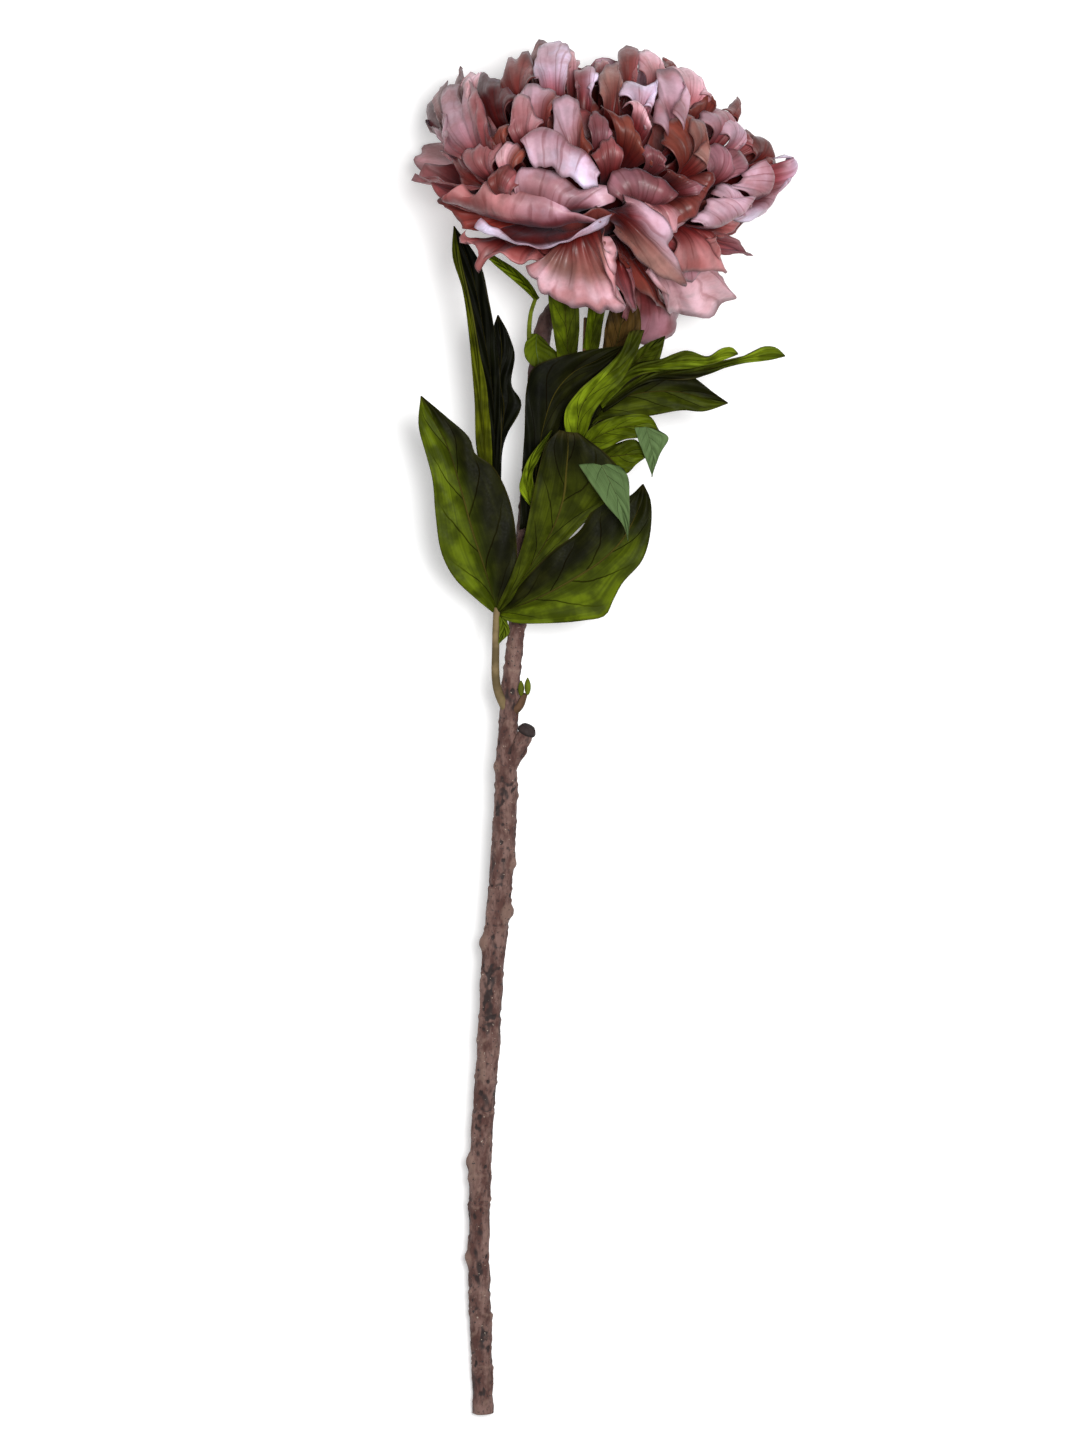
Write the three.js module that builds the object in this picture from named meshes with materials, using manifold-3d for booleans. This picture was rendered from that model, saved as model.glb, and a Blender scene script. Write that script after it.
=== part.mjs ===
// A cut peony stem, lying on a table with its bloom propping it up.
// The stem runs along Y with the bloom at +Y, and +Z is up, so the surface is z = 0.
// The origin is the middle of the stem's length, on the surface. Units are millimetres and degrees.
import * as THREE from 'three';
import { ParametricGeometry } from 'three/addons/geometries/ParametricGeometry.js';
import { LoftGeometry } from 'three/addons/geometries/LoftGeometry.js';
import { mergeVertices } from 'three/addons/utils/BufferGeometryUtils.js';
import Module from 'manifold-3d';

const wasm = await Module();
wasm.setup();

// ---------------------------------------------------------------- driving dimensions

const PETAL_THICKNESS = 0.8;
const LEAF_THICKNESS = 0.8;
const GAP = 0.3; // kept between pieces that touch

// The bloom sits at HEART, laid over from upright by LAID and leaning to the right by LEAN.
const HEART = new THREE.Vector3(-6, 258, 76);
const LAID = 62;
const LEAN = 6;
const CORE_RADIUS = 40; // the dense middle that the petals stand out of
const CORE_HEIGHT = 31;
const PETAL_ROOT = 5; // radius of the ring that the petals start from
const PRESSED_HEIGHT = 0.2; // where the middle of a petal pressed on the surface lies

// The calyx is a cup under the core, with green sepals round it.
const CALYX_TOP = -7.5;
const CALYX_BOTTOM = -15.7;
const SEPALS = 5;

// The woody stem: x, y, z and radius, from the cut end to the neck under the calyx.
const STEM = [
  [-60.2, -350, 5.1, 5.6],
  [-62.2, -270, 13.2, 5.5],
  [-61.2, -219, 18.1, 5.6],
  [-57.6, -169, 22.9, 5.7],
  [-54.6, -118, 27.7, 5.9],
  [-49.5, -62, 33.0, 6.0],
  [-47.5, -16, 37.3, 5.4],
  [-45.9, 14, 40.2, 4.8],
  [-43.4, 44, 43.1, 4.3],
  [-40.4, 95, 47.9, 4.4],
  [-36.8, 141, 51.8, 4.5],
  [-33.2, 188, 54.6, 4.5],
  [-27.0, 206, 55.6, 4.4],
  [-16.5, 220, 57.6, 4.3],
  [-9.0, 231, 61.5, 4.3],
  [-7.7, 242.3, 67.4, 4.2],
];
const STEM_SIDES = 10;
const STEM_STEPS = 32;

// Knots and bud scars on the bark: x, y, z, radius.
const KNOTS = [
  [-47.6, -94, 31.5, 3.6],
  [-58.6, -110, 29.5, 3.6],
  [-64.6, -223, 18.5, 3.8],
  [-66.3, -273, 13.6, 3.4],
  [-43.6, -70, 35.5, 2.8],
  [-52.0, -20, 38.5, 2.8],
];

// The pruned stub of an old side branch: x, y, z, radius. Its end is hollow.
const STUB = [
  [-47.5, -22, 37.0, 4.6],
  [-42.5, -12, 40.5, 4.2],
  [-37.5, -2, 44.0, 3.9],
];
const STUB_HOLLOW = { radius: 2.2, depth: 3 };

// ---------------------------------------------------------------- petals

// Each row: turn and polar angle of the tip (turn 0 faces up and front, 90 right, 180 the surface),
// its reach from the heart, the width, then how far the petal bows outwards, how its tip hooks in,
// how it cups across, how it rolls about its length, and how high it ruffles.
// Some rows end with a pointed tip, or with a notch in it.
const PETALS = [
  // the skirt that hangs over the front
  [352, 105, 76, 66, -26, 0, 14, 0, 4],
  [12, 109, 78, 34, -26, 0, 10, 10, 3],
  [26, 117, 82, 44, -26, 0, 15, 0, 3],
  [52, 102, 88, 54, -22, 10, 12, 8, 4, { notch: 0.12 }],
  [34, 97, 76, 42, -30, 0, 20, 0, 2, { point: 0.6 }],
  [62, 86, 92, 30, -5, 0, 40, 10, 2, { point: 0.8 }],
  [104, 92, 92, 40, -5, 0, 20, 0, 3],
  // the cupped petals at the right edge
  [80, 66, 104, 38, 22, 10, 35, 25, 2],
  [62, 74, 88, 44, 28, 10, 40, 20, 2],
  [74, 64, 97, 40, 28, 10, 40, 25, 2],
  // the broad bowls at the left
  [292, 80, 96, 44, -6, 0, 10, -25, 3],
  [318, 74, 86, 78, 22, 10, 30, -10, 3],
  [328, 88, 76, 80, 16, 30, 30, -10, 2],
  [334, 99, 80, 84, -10, 0, 10, 0, 4],
  // the left shoulder of the dome
  [283, 50, 98, 50, 30, 10, 35, 55, 3],
  [258, 66, 98, 32, 20, 20, 40, -50, 1],
  [300, 60, 94, 42, 24, 10, 30, 15, 2],
  [268, 74, 90, 40, 10, 0, 30, -50, 1],
  [288, 40, 94, 44, 30, 15, 35, -55, 1],
  [244, 58, 103, 26, 10, 0, 40, 30, 2, { point: 0.8 }],
  [222, 44, 98, 46, 20, 0, 20, 0, 5],
  [196, 36, 94, 44, 25, 10, 30, 0, 1],
  [318, 34, 92, 48, 28, 10, 35, 25, 2, { notch: 0.08 }],
  [340, 26, 86, 44, 40, 10, 50, -25, 1],
  [332, 46, 92, 52, 30, 10, 30, 10, 3],
  [342, 58, 86, 62, 26, 10, 30, 0, 2],
  // the right shoulder of the dome
  [165, 24, 88, 34, 25, 20, 50, 35, 2],
  [150, 40, 94, 40, 20, 20, 35, 10, 1],
  [112, 32, 94, 46, 30, 30, 40, -40, 1],
  [40, 14, 86, 46, 36, 20, 30, -10, 2],
  [80, 28, 90, 36, 30, 10, 40, 50, 2],
  [14, 22, 84, 40, 40, 10, 40, 35, 2],
  [48, 38, 88, 44, 30, 10, 45, 30, 2],
  [112, 50, 100, 40, 25, 10, 40, 30, 3, { point: 0.6 }],
  [92, 44, 94, 40, 30, 10, 40, -40, 3],
  [68, 54, 94, 50, 32, 10, 30, -25, 2],
  [98, 60, 101, 38, 25, 20, 50, 45, 1],
  [32, 60, 84, 62, 26, 10, 30, 0, 2],
  [52, 64, 86, 38, 24, 10, 35, 0, 2],
  [28, 40, 88, 44, 30, 10, 40, -15, 2],
];

// Rings of petals that follow a rule: count, first turn, step, then the columns from polar on.
const PETAL_RINGS = [
  { count: 5, from: 130, step: 25, shape: [90, 120, 56, 4, -14, 8, 0, 1] },
  { count: 5, from: 142, step: 22, shape: [64, 94, 50, 18, 0, 30, 0, 4] },
  { count: 4, from: 125, step: 36, shape: [38, 88, 48, 30, 15, 35, 12, 3] },
  { count: 5, from: 130, step: 72, shape: [20, 82, 46, 38, 35, 35, 12, 2] },
  { count: 3, from: 190, step: 120, shape: [5, 80, 40, 40, 40, 40, 15, 2] },
];

// ---------------------------------------------------------------- leaves

// A stalk is a list of x, y, z, radius. A blade's rib is a list of x, y, z; across gives the
// direction of its width at the base and at the tip; widest is where along the rib it is widest.
const FORKED_LEAF = {
  stalks: [
    [[-46.3, 6, 39.6, 2.6], [-52.5, 20, 45, 2.2], [-53.2, 42, 50, 1.9], [-52.5, 61, 54, 1.9]],
  ],
  blades: [
    {
      rib: [[-52.5, 60, 54], [-62.2, 92.6, 61], [-71.3, 118, 65], [-78, 136, 67], [-91.6, 168, 69]],
      across: [[0.96, 0.29, 0], [0.92, 0.39, 0]], width: 40, widest: 0.4, fold: 16, wave: 1.5,
    },
    {
      rib: [[-52.5, 60, 54], [-40.9, 80, 66], [-26.6, 103, 77], [-16, 128, 84], [-10, 139, 92],
        [-2, 130, 100], [13.5, 96, 98]],
      across: [[0.87, -0.5, 0], [0.9, 0.45, 0]], width: 36, widest: 0.45, fold: 8, wave: 1,
    },
    {
      rib: [[-52.5, 60, 54], [-28, 70, 64], [-5, 82, 72], [12, 93, 76], [21.6, 123, 74]],
      across: [[0.37, -0.93, 0], [0.95, -0.3, 0]], width: 52, widest: 0.45, fold: 10, wave: 2,
    },
  ],
};

const LEFT_LEAF = {
  stalks: [
    [[-43, 62, 44.7, 2.2], [-48, 78, 47, 1.8], [-51, 96, 50, 1.6]],
  ],
  blades: [
    {
      rib: [[-51, 94, 50], [-59, 133, 57], [-62, 166, 66], [-67, 206, 76], [-74, 246, 84]],
      across: [[0.95, -0.1, 0.3], [0.9, 0, 0.45]], width: 22, widest: 0.45, fold: 20, wave: 1,
    },
    {
      rib: [[-51, 94, 50], [-50, 130, 51], [-49, 161, 55], [-51, 209, 62]],
      across: [[0.98, 0.1, 0.1], [0.95, 0, 0.3]], width: 15, widest: 0.5, fold: 15, wave: 0.5,
    },
  ],
};

const RIGHT_LEAF = {
  stalks: [
    [[-39.6, 106, 49, 2.2], [-26.6, 120.6, 59, 1.8], [-12.5, 134.8, 65, 1.7]],
    [[-12.5, 134.8, 65, 1.7], [-10.5, 150, 70, 1.3], [-10, 164, 76, 1.2]],
  ],
  blades: [
    {
      rib: [[-36, 110, 52], [-30, 140, 64], [-20, 160, 71], [-8, 175, 75], [10, 191, 77]],
      across: [[0.86, -0.5, 0], [0.7, -0.7, 0]], width: 34, widest: 0.45, fold: 15, wave: 1,
    },
    {
      rib: [[-12.5, 134.8, 65], [-8, 158, 86], [4, 183, 94], [31.7, 197.7, 94]],
      across: [[0.98, -0.15, 0.1], [0.45, -0.9, 0]], width: 16, widest: 0.5, fold: 20, wave: 0.5,
    },
    {
      rib: [[-12.5, 134.8, 65], [15, 167, 71], [40.4, 172.3, 75], [64.2, 164.2, 77]],
      across: [[0.5, -0.86, 0], [-0.3, -0.95, 0]], width: 22, widest: 0.5, fold: 15, wave: 1,
    },
    {
      rib: [[-12.5, 134.8, 65], [18, 172, 83], [45.4, 185.5, 89], [69.3, 189, 90]],
      across: [[0.7, -0.7, 0], [0.1, -0.8, 0.6]], width: 8, widest: 0.6, fold: 15, wave: 0.5,
    },
    {
      rib: [[-12.5, 134.8, 65], [30, 170, 79], [60.7, 183.5, 84], [93.7, 189, 86]],
      across: [[0.7, -0.7, 0], [0.1, -0.8, 0.6]], width: 8, widest: 0.65, fold: 15, wave: 0.5,
    },
    {
      rib: [[-12.5, 134.8, 65], [5, 144, 83], [20, 149, 90], [31, 138, 88], [28, 122, 80]],
      across: [[0.35, -0.94, 0], [-0.9, -0.3, 0]], width: 26, widest: 0.45, fold: 10, wave: 1,
    },
    {
      rib: [[-10, 162, 76], [-17, 196, 89], [-22.6, 222, 95]],
      across: [[0.98, 0.2, 0], [0.98, 0.2, 0]], width: 13, widest: 0.5, fold: 15, wave: 0.5,
    },
    {
      rib: [[-10, 162, 76], [-5.3, 196.7, 90], [-2, 222, 95]],
      across: [[0.99, -0.1, 0], [0.99, -0.1, 0]], width: 13, widest: 0.5, fold: 15, wave: 0.5,
    },
    {
      rib: [[-12.5, 134.8, 65], [6, 180, 82], [15, 207, 88]],
      across: [[0.9, -0.35, 0.1], [0.9, -0.35, 0.1]], width: 13, widest: 0.6, fold: 15, wave: 0.5,
    },
  ],
};

const TOP_LEAF = {
  stalks: [
    [[-33.6, 186, 56.4, 1.6], [-36, 194, 62, 1.3], [-36, 204, 66, 1.1]],
  ],
  blades: [
    {
      rib: [[-36, 202, 66], [-37, 218, 72], [-52, 233, 79]],
      across: [[0.95, 0.2, 0.2], [0.6, 0.75, 0.2]], width: 7, widest: 0.5, fold: 15, wave: 0.3,
    },
    {
      rib: [[-36, 200, 65], [-29, 194, 72], [-36, 182, 78]],
      across: [[0.5, 0.8, 0.2], [-0.8, 0.5, 0.2]], width: 12, widest: 0.5, fold: 15, wave: 0.3,
    },
  ],
};

// The short side shoot with its two green buds.
const SHOOT = {
  stalks: [
    [[-45.8, 8, 39.7, 1.8], [-41, 12, 44, 1.5], [-38, 18, 47, 1.3]],
  ],
  buds: [
    { at: [-37.2, 20.5, 48], length: 11, radius: 2.6 },
    { at: [-40.5, 17.5, 47.5], length: 8, radius: 2.1 },
  ],
};

// ---------------------------------------------------------------- shape helpers

const rad = THREE.MathUtils.degToRad;
const vector = ([x, y, z]) => new THREE.Vector3(x, y, z);
const smooth = (x) => THREE.MathUtils.smoothstep(x, 0, 1);

function solidOf(geometry) {
  const bare = new THREE.BufferGeometry();
  bare.setAttribute('position', geometry.attributes.position);
  bare.setIndex(geometry.index);
  const merged = mergeVertices(bare, 1e-4);
  return new wasm.Manifold(new wasm.Mesh({
    numProp: 3,
    vertProperties: new Float32Array(merged.attributes.position.array),
    triVerts: new Uint32Array(merged.index.array),
  }));
}

function geometryOf(solid) {
  const mesh = solid.getMesh();
  const geometry = new THREE.BufferGeometry();
  geometry.setAttribute('position', new THREE.BufferAttribute(mesh.vertProperties, 3));
  geometry.setIndex(new THREE.BufferAttribute(mesh.triVerts, 1));
  geometry.computeVertexNormals();
  return geometry;
}

// One solid from many, without the small hollows that they close in between them.
function fuse(solids) {
  return outerShell(solids.reduce((whole, solid) => whole.add(solid)));
}

function outerShell(solid) {
  return solid.decompose().sort((a, b) => b.volume() - a.volume())[0];
}

// A sheet with thickness: both faces carry the same triangles, joined by a rim.
function sheet(pointAt, slices, stacks, thickness) {
  const middle = new ParametricGeometry(pointAt, slices, stacks);
  middle.computeVertexNormals();
  const { position, normal } = middle.attributes;
  const count = position.count;
  const vertices = [];
  for (const side of [0.5, -0.5]) {
    for (let i = 0; i < count; i++) {
      const point = new THREE.Vector3().fromBufferAttribute(position, i);
      const offset = new THREE.Vector3().fromBufferAttribute(normal, i);
      point.addScaledVector(offset, side * thickness);
      vertices.push(...point.toArray());
    }
  }
  const faces = [];
  for (let i = 0; i < middle.index.count; i += 3) {
    const [a, b, c] = [0, 1, 2].map((k) => middle.index.getX(i + k));
    faces.push(a, b, c, c + count, b + count, a + count);
  }
  const row = slices + 1;
  const rim = [];
  for (let j = 0; j < slices; j++) rim.push(j);
  for (let i = 0; i < stacks; i++) rim.push(i * row + slices);
  for (let j = slices; j > 0; j--) rim.push(stacks * row + j);
  for (let i = stacks; i > 0; i--) rim.push(i * row);
  rim.forEach((a, k) => {
    const b = rim[(k + 1) % rim.length];
    faces.push(b, a, a + count, b, a + count, b + count);
  });
  const geometry = new THREE.BufferGeometry();
  geometry.setAttribute('position', new THREE.Float32BufferAttribute(vertices, 3));
  geometry.setIndex(faces);
  return geometry;
}

// A round limb through stations of x, y, z and radius; bark gives its small bumps.
function limb(stations, sides, steps, grow = 0, bark = 0) {
  const curve = new THREE.CatmullRomCurve3(stations.map(vector));
  const frames = curve.computeFrenetFrames(steps);
  const rings = [];
  for (let i = 0; i <= steps; i++) {
    const t = i / steps;
    const centre = curve.getPointAt(t);
    const place = curve.getUtoTmapping(t) * (stations.length - 1);
    const k = Math.min(Math.floor(place), stations.length - 2);
    const radius = THREE.MathUtils.lerp(stations[k][3], stations[k + 1][3], place - k) + grow;
    const ring = [];
    for (let j = 0; j < sides; j++) {
      const angle = (j / sides) * 2 * Math.PI;
      const bump = 1 + bark * Math.sin(3 * angle + 9 * t) * Math.sin(31 * t + 2 * angle);
      ring.push(centre.clone()
        .addScaledVector(frames.normals[i], Math.cos(angle) * radius * bump)
        .addScaledVector(frames.binormals[i], Math.sin(angle) * radius * bump));
    }
    rings.push(ring);
  }
  return new LoftGeometry(rings, { capStart: true, capEnd: true });
}

// ---------------------------------------------------------------- stem

function stemSolid() {
  const solids = [solidOf(limb(STEM, STEM_SIDES, STEM_STEPS, 0, 0.035))];
  for (const [x, y, z, radius] of KNOTS) {
    solids.push(solidOf(new THREE.SphereGeometry(radius, 8, 6).translate(x, y, z)));
  }
  solids.push(solidOf(limb(STUB, 10, 3)));
  const tip = vector(STUB.at(-1));
  const direction = tip.clone().sub(vector(STUB.at(-2))).normalize();
  const hollow = new THREE.ConeGeometry(STUB_HOLLOW.radius, 2 * STUB_HOLLOW.depth, 8);
  hollow.applyQuaternion(new THREE.Quaternion().setFromUnitVectors(
    new THREE.Vector3(0, -1, 0),
    direction,
  ));
  hollow.translate(tip.x, tip.y, tip.z);
  return fuse(solids).subtract(solidOf(hollow)).subtract(solidOf(belowSurface()));
}

// What is under the surface, cut off flat where the flower rests.
function belowSurface() {
  return new THREE.BoxGeometry(1000, 1000, 100).translate(0, 0, -50);
}

// The stem grown by the gap, to cut what is joined to it.
const stemSleeve = solidOf(limb(STEM, STEM_SIDES, STEM_STEPS, GAP + 0.2));

// ---------------------------------------------------------------- leaves

function blade({ rib, across, width, widest, fold, wave }) {
  const curve = new THREE.CatmullRomCurve3(rib.map(vector));
  const [from, to] = across.map(vector);
  const skew = Math.log(0.5) / Math.log(widest);
  return sheet((u, t, point) => {
    const s = 2 * u - 1;
    const tangent = curve.getTangentAt(t);
    const side = from.clone().lerp(to, t);
    side.addScaledVector(tangent, -side.dot(tangent)).normalize();
    const up = side.clone().cross(tangent);
    const half = Math.max(0.7, (width / 2) * Math.sin(Math.PI * t ** skew) ** 0.85);
    const ripple = wave * s * Math.sin(9 * t) * Math.sin(Math.PI * t);
    const lift = Math.sin(rad(fold)) * half * Math.abs(s) + ripple;
    point.copy(curve.getPointAt(t));
    point.addScaledVector(side, Math.cos(rad(fold)) * half * s);
    point.addScaledVector(up, lift);
  }, width > 20 ? 4 : 2, 6, LEAF_THICKNESS);
}

function leafSolid({ stalks, blades }) {
  const solids = [
    ...stalks.map((stations) => solidOf(limb(stations, 6, 5))),
    ...blades.map((spec) => solidOf(blade(spec))),
  ];
  return fuse(solids).subtract(stemSleeve);
}

function shootSolid({ stalks, buds }) {
  const solids = stalks.map((stations) => solidOf(limb(stations, 7, 5)));
  for (const { at, length, radius } of buds) {
    const bud = new THREE.SphereGeometry(1, 8, 6).scale(radius, length / 2, radius);
    solids.push(solidOf(bud.translate(...at)));
  }
  return fuse(solids).subtract(stemSleeve);
}

// ---------------------------------------------------------------- bloom

const bloomGroup = new THREE.Group();
bloomGroup.position.copy(HEART);
bloomGroup.rotation.set(rad(-LAID), 0, rad(-LEAN), 'ZXY');
bloomGroup.updateMatrixWorld();
// The surface as the bloom sees it: petals that would pass through it are pressed flat on it.
const surface = new THREE.Plane(new THREE.Vector3(0, 0, 1), 0);
surface.applyMatrix4(bloomGroup.matrixWorld.clone().invert());

function press(point) {
  const depth = PRESSED_HEIGHT - surface.distanceToPoint(point);
  if (depth > 0) point.addScaledVector(surface.normal, depth);
}

function petal([turn, polar, reach, width, bow, hook, cup, roll, ruffle, extra = {}]) {
  const { point: pointed = 0, notch = 0 } = extra;
  const phase = 0.05 * turn;
  const out = new THREE.Vector3(Math.sin(rad(turn)), -Math.cos(rad(turn)), 0);
  const around = new THREE.Vector3(Math.cos(rad(turn)), Math.sin(rad(turn)), 0);
  const heading = (angle) => out.clone().multiplyScalar(Math.sin(rad(angle)))
    .add(new THREE.Vector3(0, 0, Math.cos(rad(angle))));
  const root = out.clone().multiplyScalar(PETAL_ROOT);
  const tip = heading(polar).multiplyScalar(reach);
  const spine = new THREE.CubicBezierCurve3(
    root,
    root.clone().addScaledVector(heading(polar + bow), 0.42 * reach),
    tip.clone().addScaledVector(heading(polar - bow - hook), -0.36 * reach),
    tip,
  );
  const bend = width / 2 / rad(cup);
  const cells = width > 55 ? 4 : 3;
  return sheet((across, along, point) => {
    const v = 2 * across - 1;
    const edge = Math.abs(v);
    const ragged = 0.02 * Math.sin(5 * v + 3 * phase) + 0.014 * Math.sin(11 * v + 7 * phase)
      - notch * Math.exp(-((v / 0.16) ** 2));
    const droop = (1 - pointed) * 0.38 * edge ** 2.3 + pointed * 0.55 * edge ** 1.3;
    const t = THREE.MathUtils.clamp(along * (1 - droop + ragged * along), 0, 1);
    const tangent = spine.getTangent(t);
    const side = around.clone();
    const up = tangent.clone().cross(side);
    const half = (width / 2) * (0.14 + 0.86 * Math.sin(Math.min(t / 0.92, 1) * Math.PI * 0.56) ** 1.15);
    side.applyAxisAngle(tangent, rad(roll) * smooth(t / 0.8));
    up.applyAxisAngle(tangent, rad(roll) * smooth(t / 0.8));
    const tipWave = 0.6 * Math.sin(4.3 * v + 5 * phase) + 0.4 * Math.sin(9.1 * v + 11 * phase);
    const sideWave = 0.5 * edge ** 4 * Math.sin(9 * along + 3 * phase);
    const wave = ruffle * (along ** 3 * tipWave + along * sideWave);
    point.copy(spine.getPoint(t));
    point.addScaledVector(side, bend * Math.sin((v * half) / bend));
    point.addScaledVector(up, bend * (1 - Math.cos((v * half) / bend)) + wave);
    press(point);
  }, cells, cells, PETAL_THICKNESS);
}

function bloomSolid() {
  const rows = [...PETALS];
  for (const { count, from, step, shape } of PETAL_RINGS) {
    for (let i = 0; i < count; i++) rows.push([from + i * step, ...shape]);
  }
  const solids = rows.map((row) => solidOf(petal(row)));
  const underCore = new THREE.BoxGeometry(100, 100, 60).translate(0, 0, CALYX_TOP + GAP - 30);
  const core = solidOf(new THREE.SphereGeometry(CORE_RADIUS, 16, 10).translate(0, 0, CORE_HEIGHT))
    .subtract(solidOf(underCore));
  const table = belowSurface().applyMatrix4(bloomGroup.matrixWorld.clone().invert());
  return outerShell(fuse([core, ...solids]).subtract(solidOf(table)));
}

function calyxSolid() {
  const cup = new THREE.LatheGeometry([
    new THREE.Vector2(0, CALYX_BOTTOM),
    new THREE.Vector2(4.6, CALYX_BOTTOM),
    new THREE.Vector2(7.4, -12),
    new THREE.Vector2(9.6, CALYX_TOP),
    new THREE.Vector2(0, CALYX_TOP),
  ], 14).rotateX(Math.PI / 2);
  const solids = [solidOf(cup)];
  for (let i = 0; i < SEPALS; i++) {
    const turn = rad(36 + (i * 360) / SEPALS);
    const out = new THREE.Vector3(Math.sin(turn), -Math.cos(turn), 0);
    const side = new THREE.Vector3(Math.cos(turn), Math.sin(turn), 0);
    const place = (radius, height) => out.clone().multiplyScalar(radius).setZ(height).toArray();
    solids.push(solidOf(blade({
      rib: [place(5, -10), place(16, -13), place(27, -19)],
      across: [side.toArray(), side.toArray()], width: 17, widest: 0.5, fold: 0, wave: 0,
    })));
  }
  return fuse(solids);
}

// ---------------------------------------------------------------- scene graph

function piece(name, solid, color, roughness) {
  const material = new THREE.MeshStandardMaterial({ color, roughness, metalness: 0 });
  const mesh = new THREE.Mesh(geometryOf(solid), material);
  mesh.name = name;
  return mesh;
}

const peony = new THREE.Group();
peony.add(piece('stem', stemSolid(), 0x7d5a4d, 0.85));
peony.add(piece('side_shoot', shootSolid(SHOOT), 0x66752f, 0.6));
peony.add(piece('leaf_forked', leafSolid(FORKED_LEAF), 0x3f5517, 0.5));
peony.add(piece('leaf_left', leafSolid(LEFT_LEAF), 0x243010, 0.5));
peony.add(piece('leaf_right', leafSolid(RIGHT_LEAF), 0x4d681c, 0.5));
peony.add(piece('leaf_top', leafSolid(TOP_LEAF), 0x6f8a22, 0.5));
peony.add(bloomGroup);
bloomGroup.add(piece('calyx', calyxSolid(), 0x5c7030, 0.55));
bloomGroup.add(piece('bloom', bloomSolid(), 0xb98784, 0.5));

export default peony;
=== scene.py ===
# %% [markdown]
# # A cut peony, lying down
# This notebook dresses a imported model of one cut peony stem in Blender.
# The frame gives every part its place, so each step below only has to make a finer
# skin for a part that is already there: the stem, the leaves, the calyx and the bloom.

# %% Load the frame
import math
import random

import bmesh
import bpy
import numpy as np
from mathutils import Matrix, Vector, noise


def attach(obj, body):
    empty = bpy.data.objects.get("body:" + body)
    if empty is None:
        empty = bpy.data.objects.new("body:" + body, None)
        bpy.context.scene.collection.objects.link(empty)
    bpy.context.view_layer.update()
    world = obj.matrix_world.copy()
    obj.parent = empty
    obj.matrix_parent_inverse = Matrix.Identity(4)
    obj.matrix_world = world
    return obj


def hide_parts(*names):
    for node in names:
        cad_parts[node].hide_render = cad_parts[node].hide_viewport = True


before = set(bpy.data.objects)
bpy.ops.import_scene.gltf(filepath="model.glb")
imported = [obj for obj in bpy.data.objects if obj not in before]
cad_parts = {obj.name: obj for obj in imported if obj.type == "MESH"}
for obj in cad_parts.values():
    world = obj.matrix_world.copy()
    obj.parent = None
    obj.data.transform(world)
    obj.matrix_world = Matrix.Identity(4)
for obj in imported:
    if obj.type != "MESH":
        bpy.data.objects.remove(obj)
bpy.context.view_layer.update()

MM = 0.001

# %% [markdown]
# ## Colours that match what the eye sees
# A picture program shows colours in sRGB, but shaders want linear light. One helper turns
# one into the other, so the colours below can be read as they look on the flower.


# %% Colour helper
def seen(red, green, blue):
    """The linear colour of a colour as a screen shows it, each part from 0 to 255."""
    def linear(c):
        c /= 255
        return c / 12.92 if c <= 0.04045 else ((c + 0.055) / 1.055) ** 2.4
    return (linear(red), linear(green), linear(blue), 1.0)


print("half of the brightest grey, in linear light:", round(seen(128, 128, 128)[0], 3))

# %% [markdown]
# ## Short words for shader nodes
# Every finish here is built from nodes. Adding one node takes several lines when it is
# written out, so these helpers add a node and plug in its inputs in a single line.


# %% Node helpers: one node, arithmetic and mixing
def node(tree, kind, inputs=(), **settings):
    """Adds a shader node. inputs is a dict; a value may be another node's output."""
    made = tree.nodes.new("ShaderNode" + kind)
    for key, value in settings.items():
        setattr(made, key, value)
    for key, value in dict(inputs).items():
        if isinstance(value, bpy.types.NodeSocket):
            tree.links.new(value, made.inputs[key])
        else:
            made.inputs[key].default_value = value
    return made


def maths(tree, operation, a, b=0.0, clamp=False):
    """One step of arithmetic on two numbers."""
    return node(tree, "Math", {0: a, 1: b}, operation=operation, use_clamp=clamp).outputs[0]


def times(tree, a, b):
    return maths(tree, "MULTIPLY", a, b)


def ease(tree, value, low, high, start=0.0, end=1.0):
    """Goes smoothly from start to end while value goes from low to high."""
    spread = {"Value": value, "From Min": low, "From Max": high, "To Min": start, "To Max": end}
    return node(tree, "MapRange", spread, interpolation_type="SMOOTHSTEP").outputs[0]


def mixed(tree, amount, first, second, mode="MIX"):
    """Mixes two colours; 0, 6 and 7 are a Mix node's factor and its two colour inputs."""
    inputs = {0: amount, 6: first, 7: second}
    return node(tree, "Mix", inputs, data_type="RGBA", blend_type=mode).outputs[2]


# %% Node helpers: noise and a blade's own map
def clouds(tree, place, scale, detail=3.0, roughness=0.5):
    """Soft random spots, from 0 to 1."""
    inputs = {"Vector": place, "Scale": scale, "Detail": detail, "Roughness": roughness}
    return node(tree, "TexNoise", inputs).outputs[0]


def blade_map(tree):
    """A blade's own map: x across it from 0 to 1, y from its base to its tip."""
    uv = node(tree, "UVMap", uv_map="blade").outputs[0]
    return node(tree, "SeparateXYZ", {0: uv}).outputs


def from_middle(tree, x):
    """How far a point is from the middle line of its blade, from 0 to 1 at the rim."""
    centred = maths(tree, "SUBTRACT", times(tree, x, 2.0), 1.0)
    return maths(tree, "ABSOLUTE", centred)


# %% [markdown]
# ## Effects that several finishes share
# Petals and leaves both have lines that run with the blade and a rim that differs from the
# middle, and every surface here is a little mottled. An effect that more than one finish
# uses is best built once, as a node group, and placed in each material with its own values.


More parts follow.
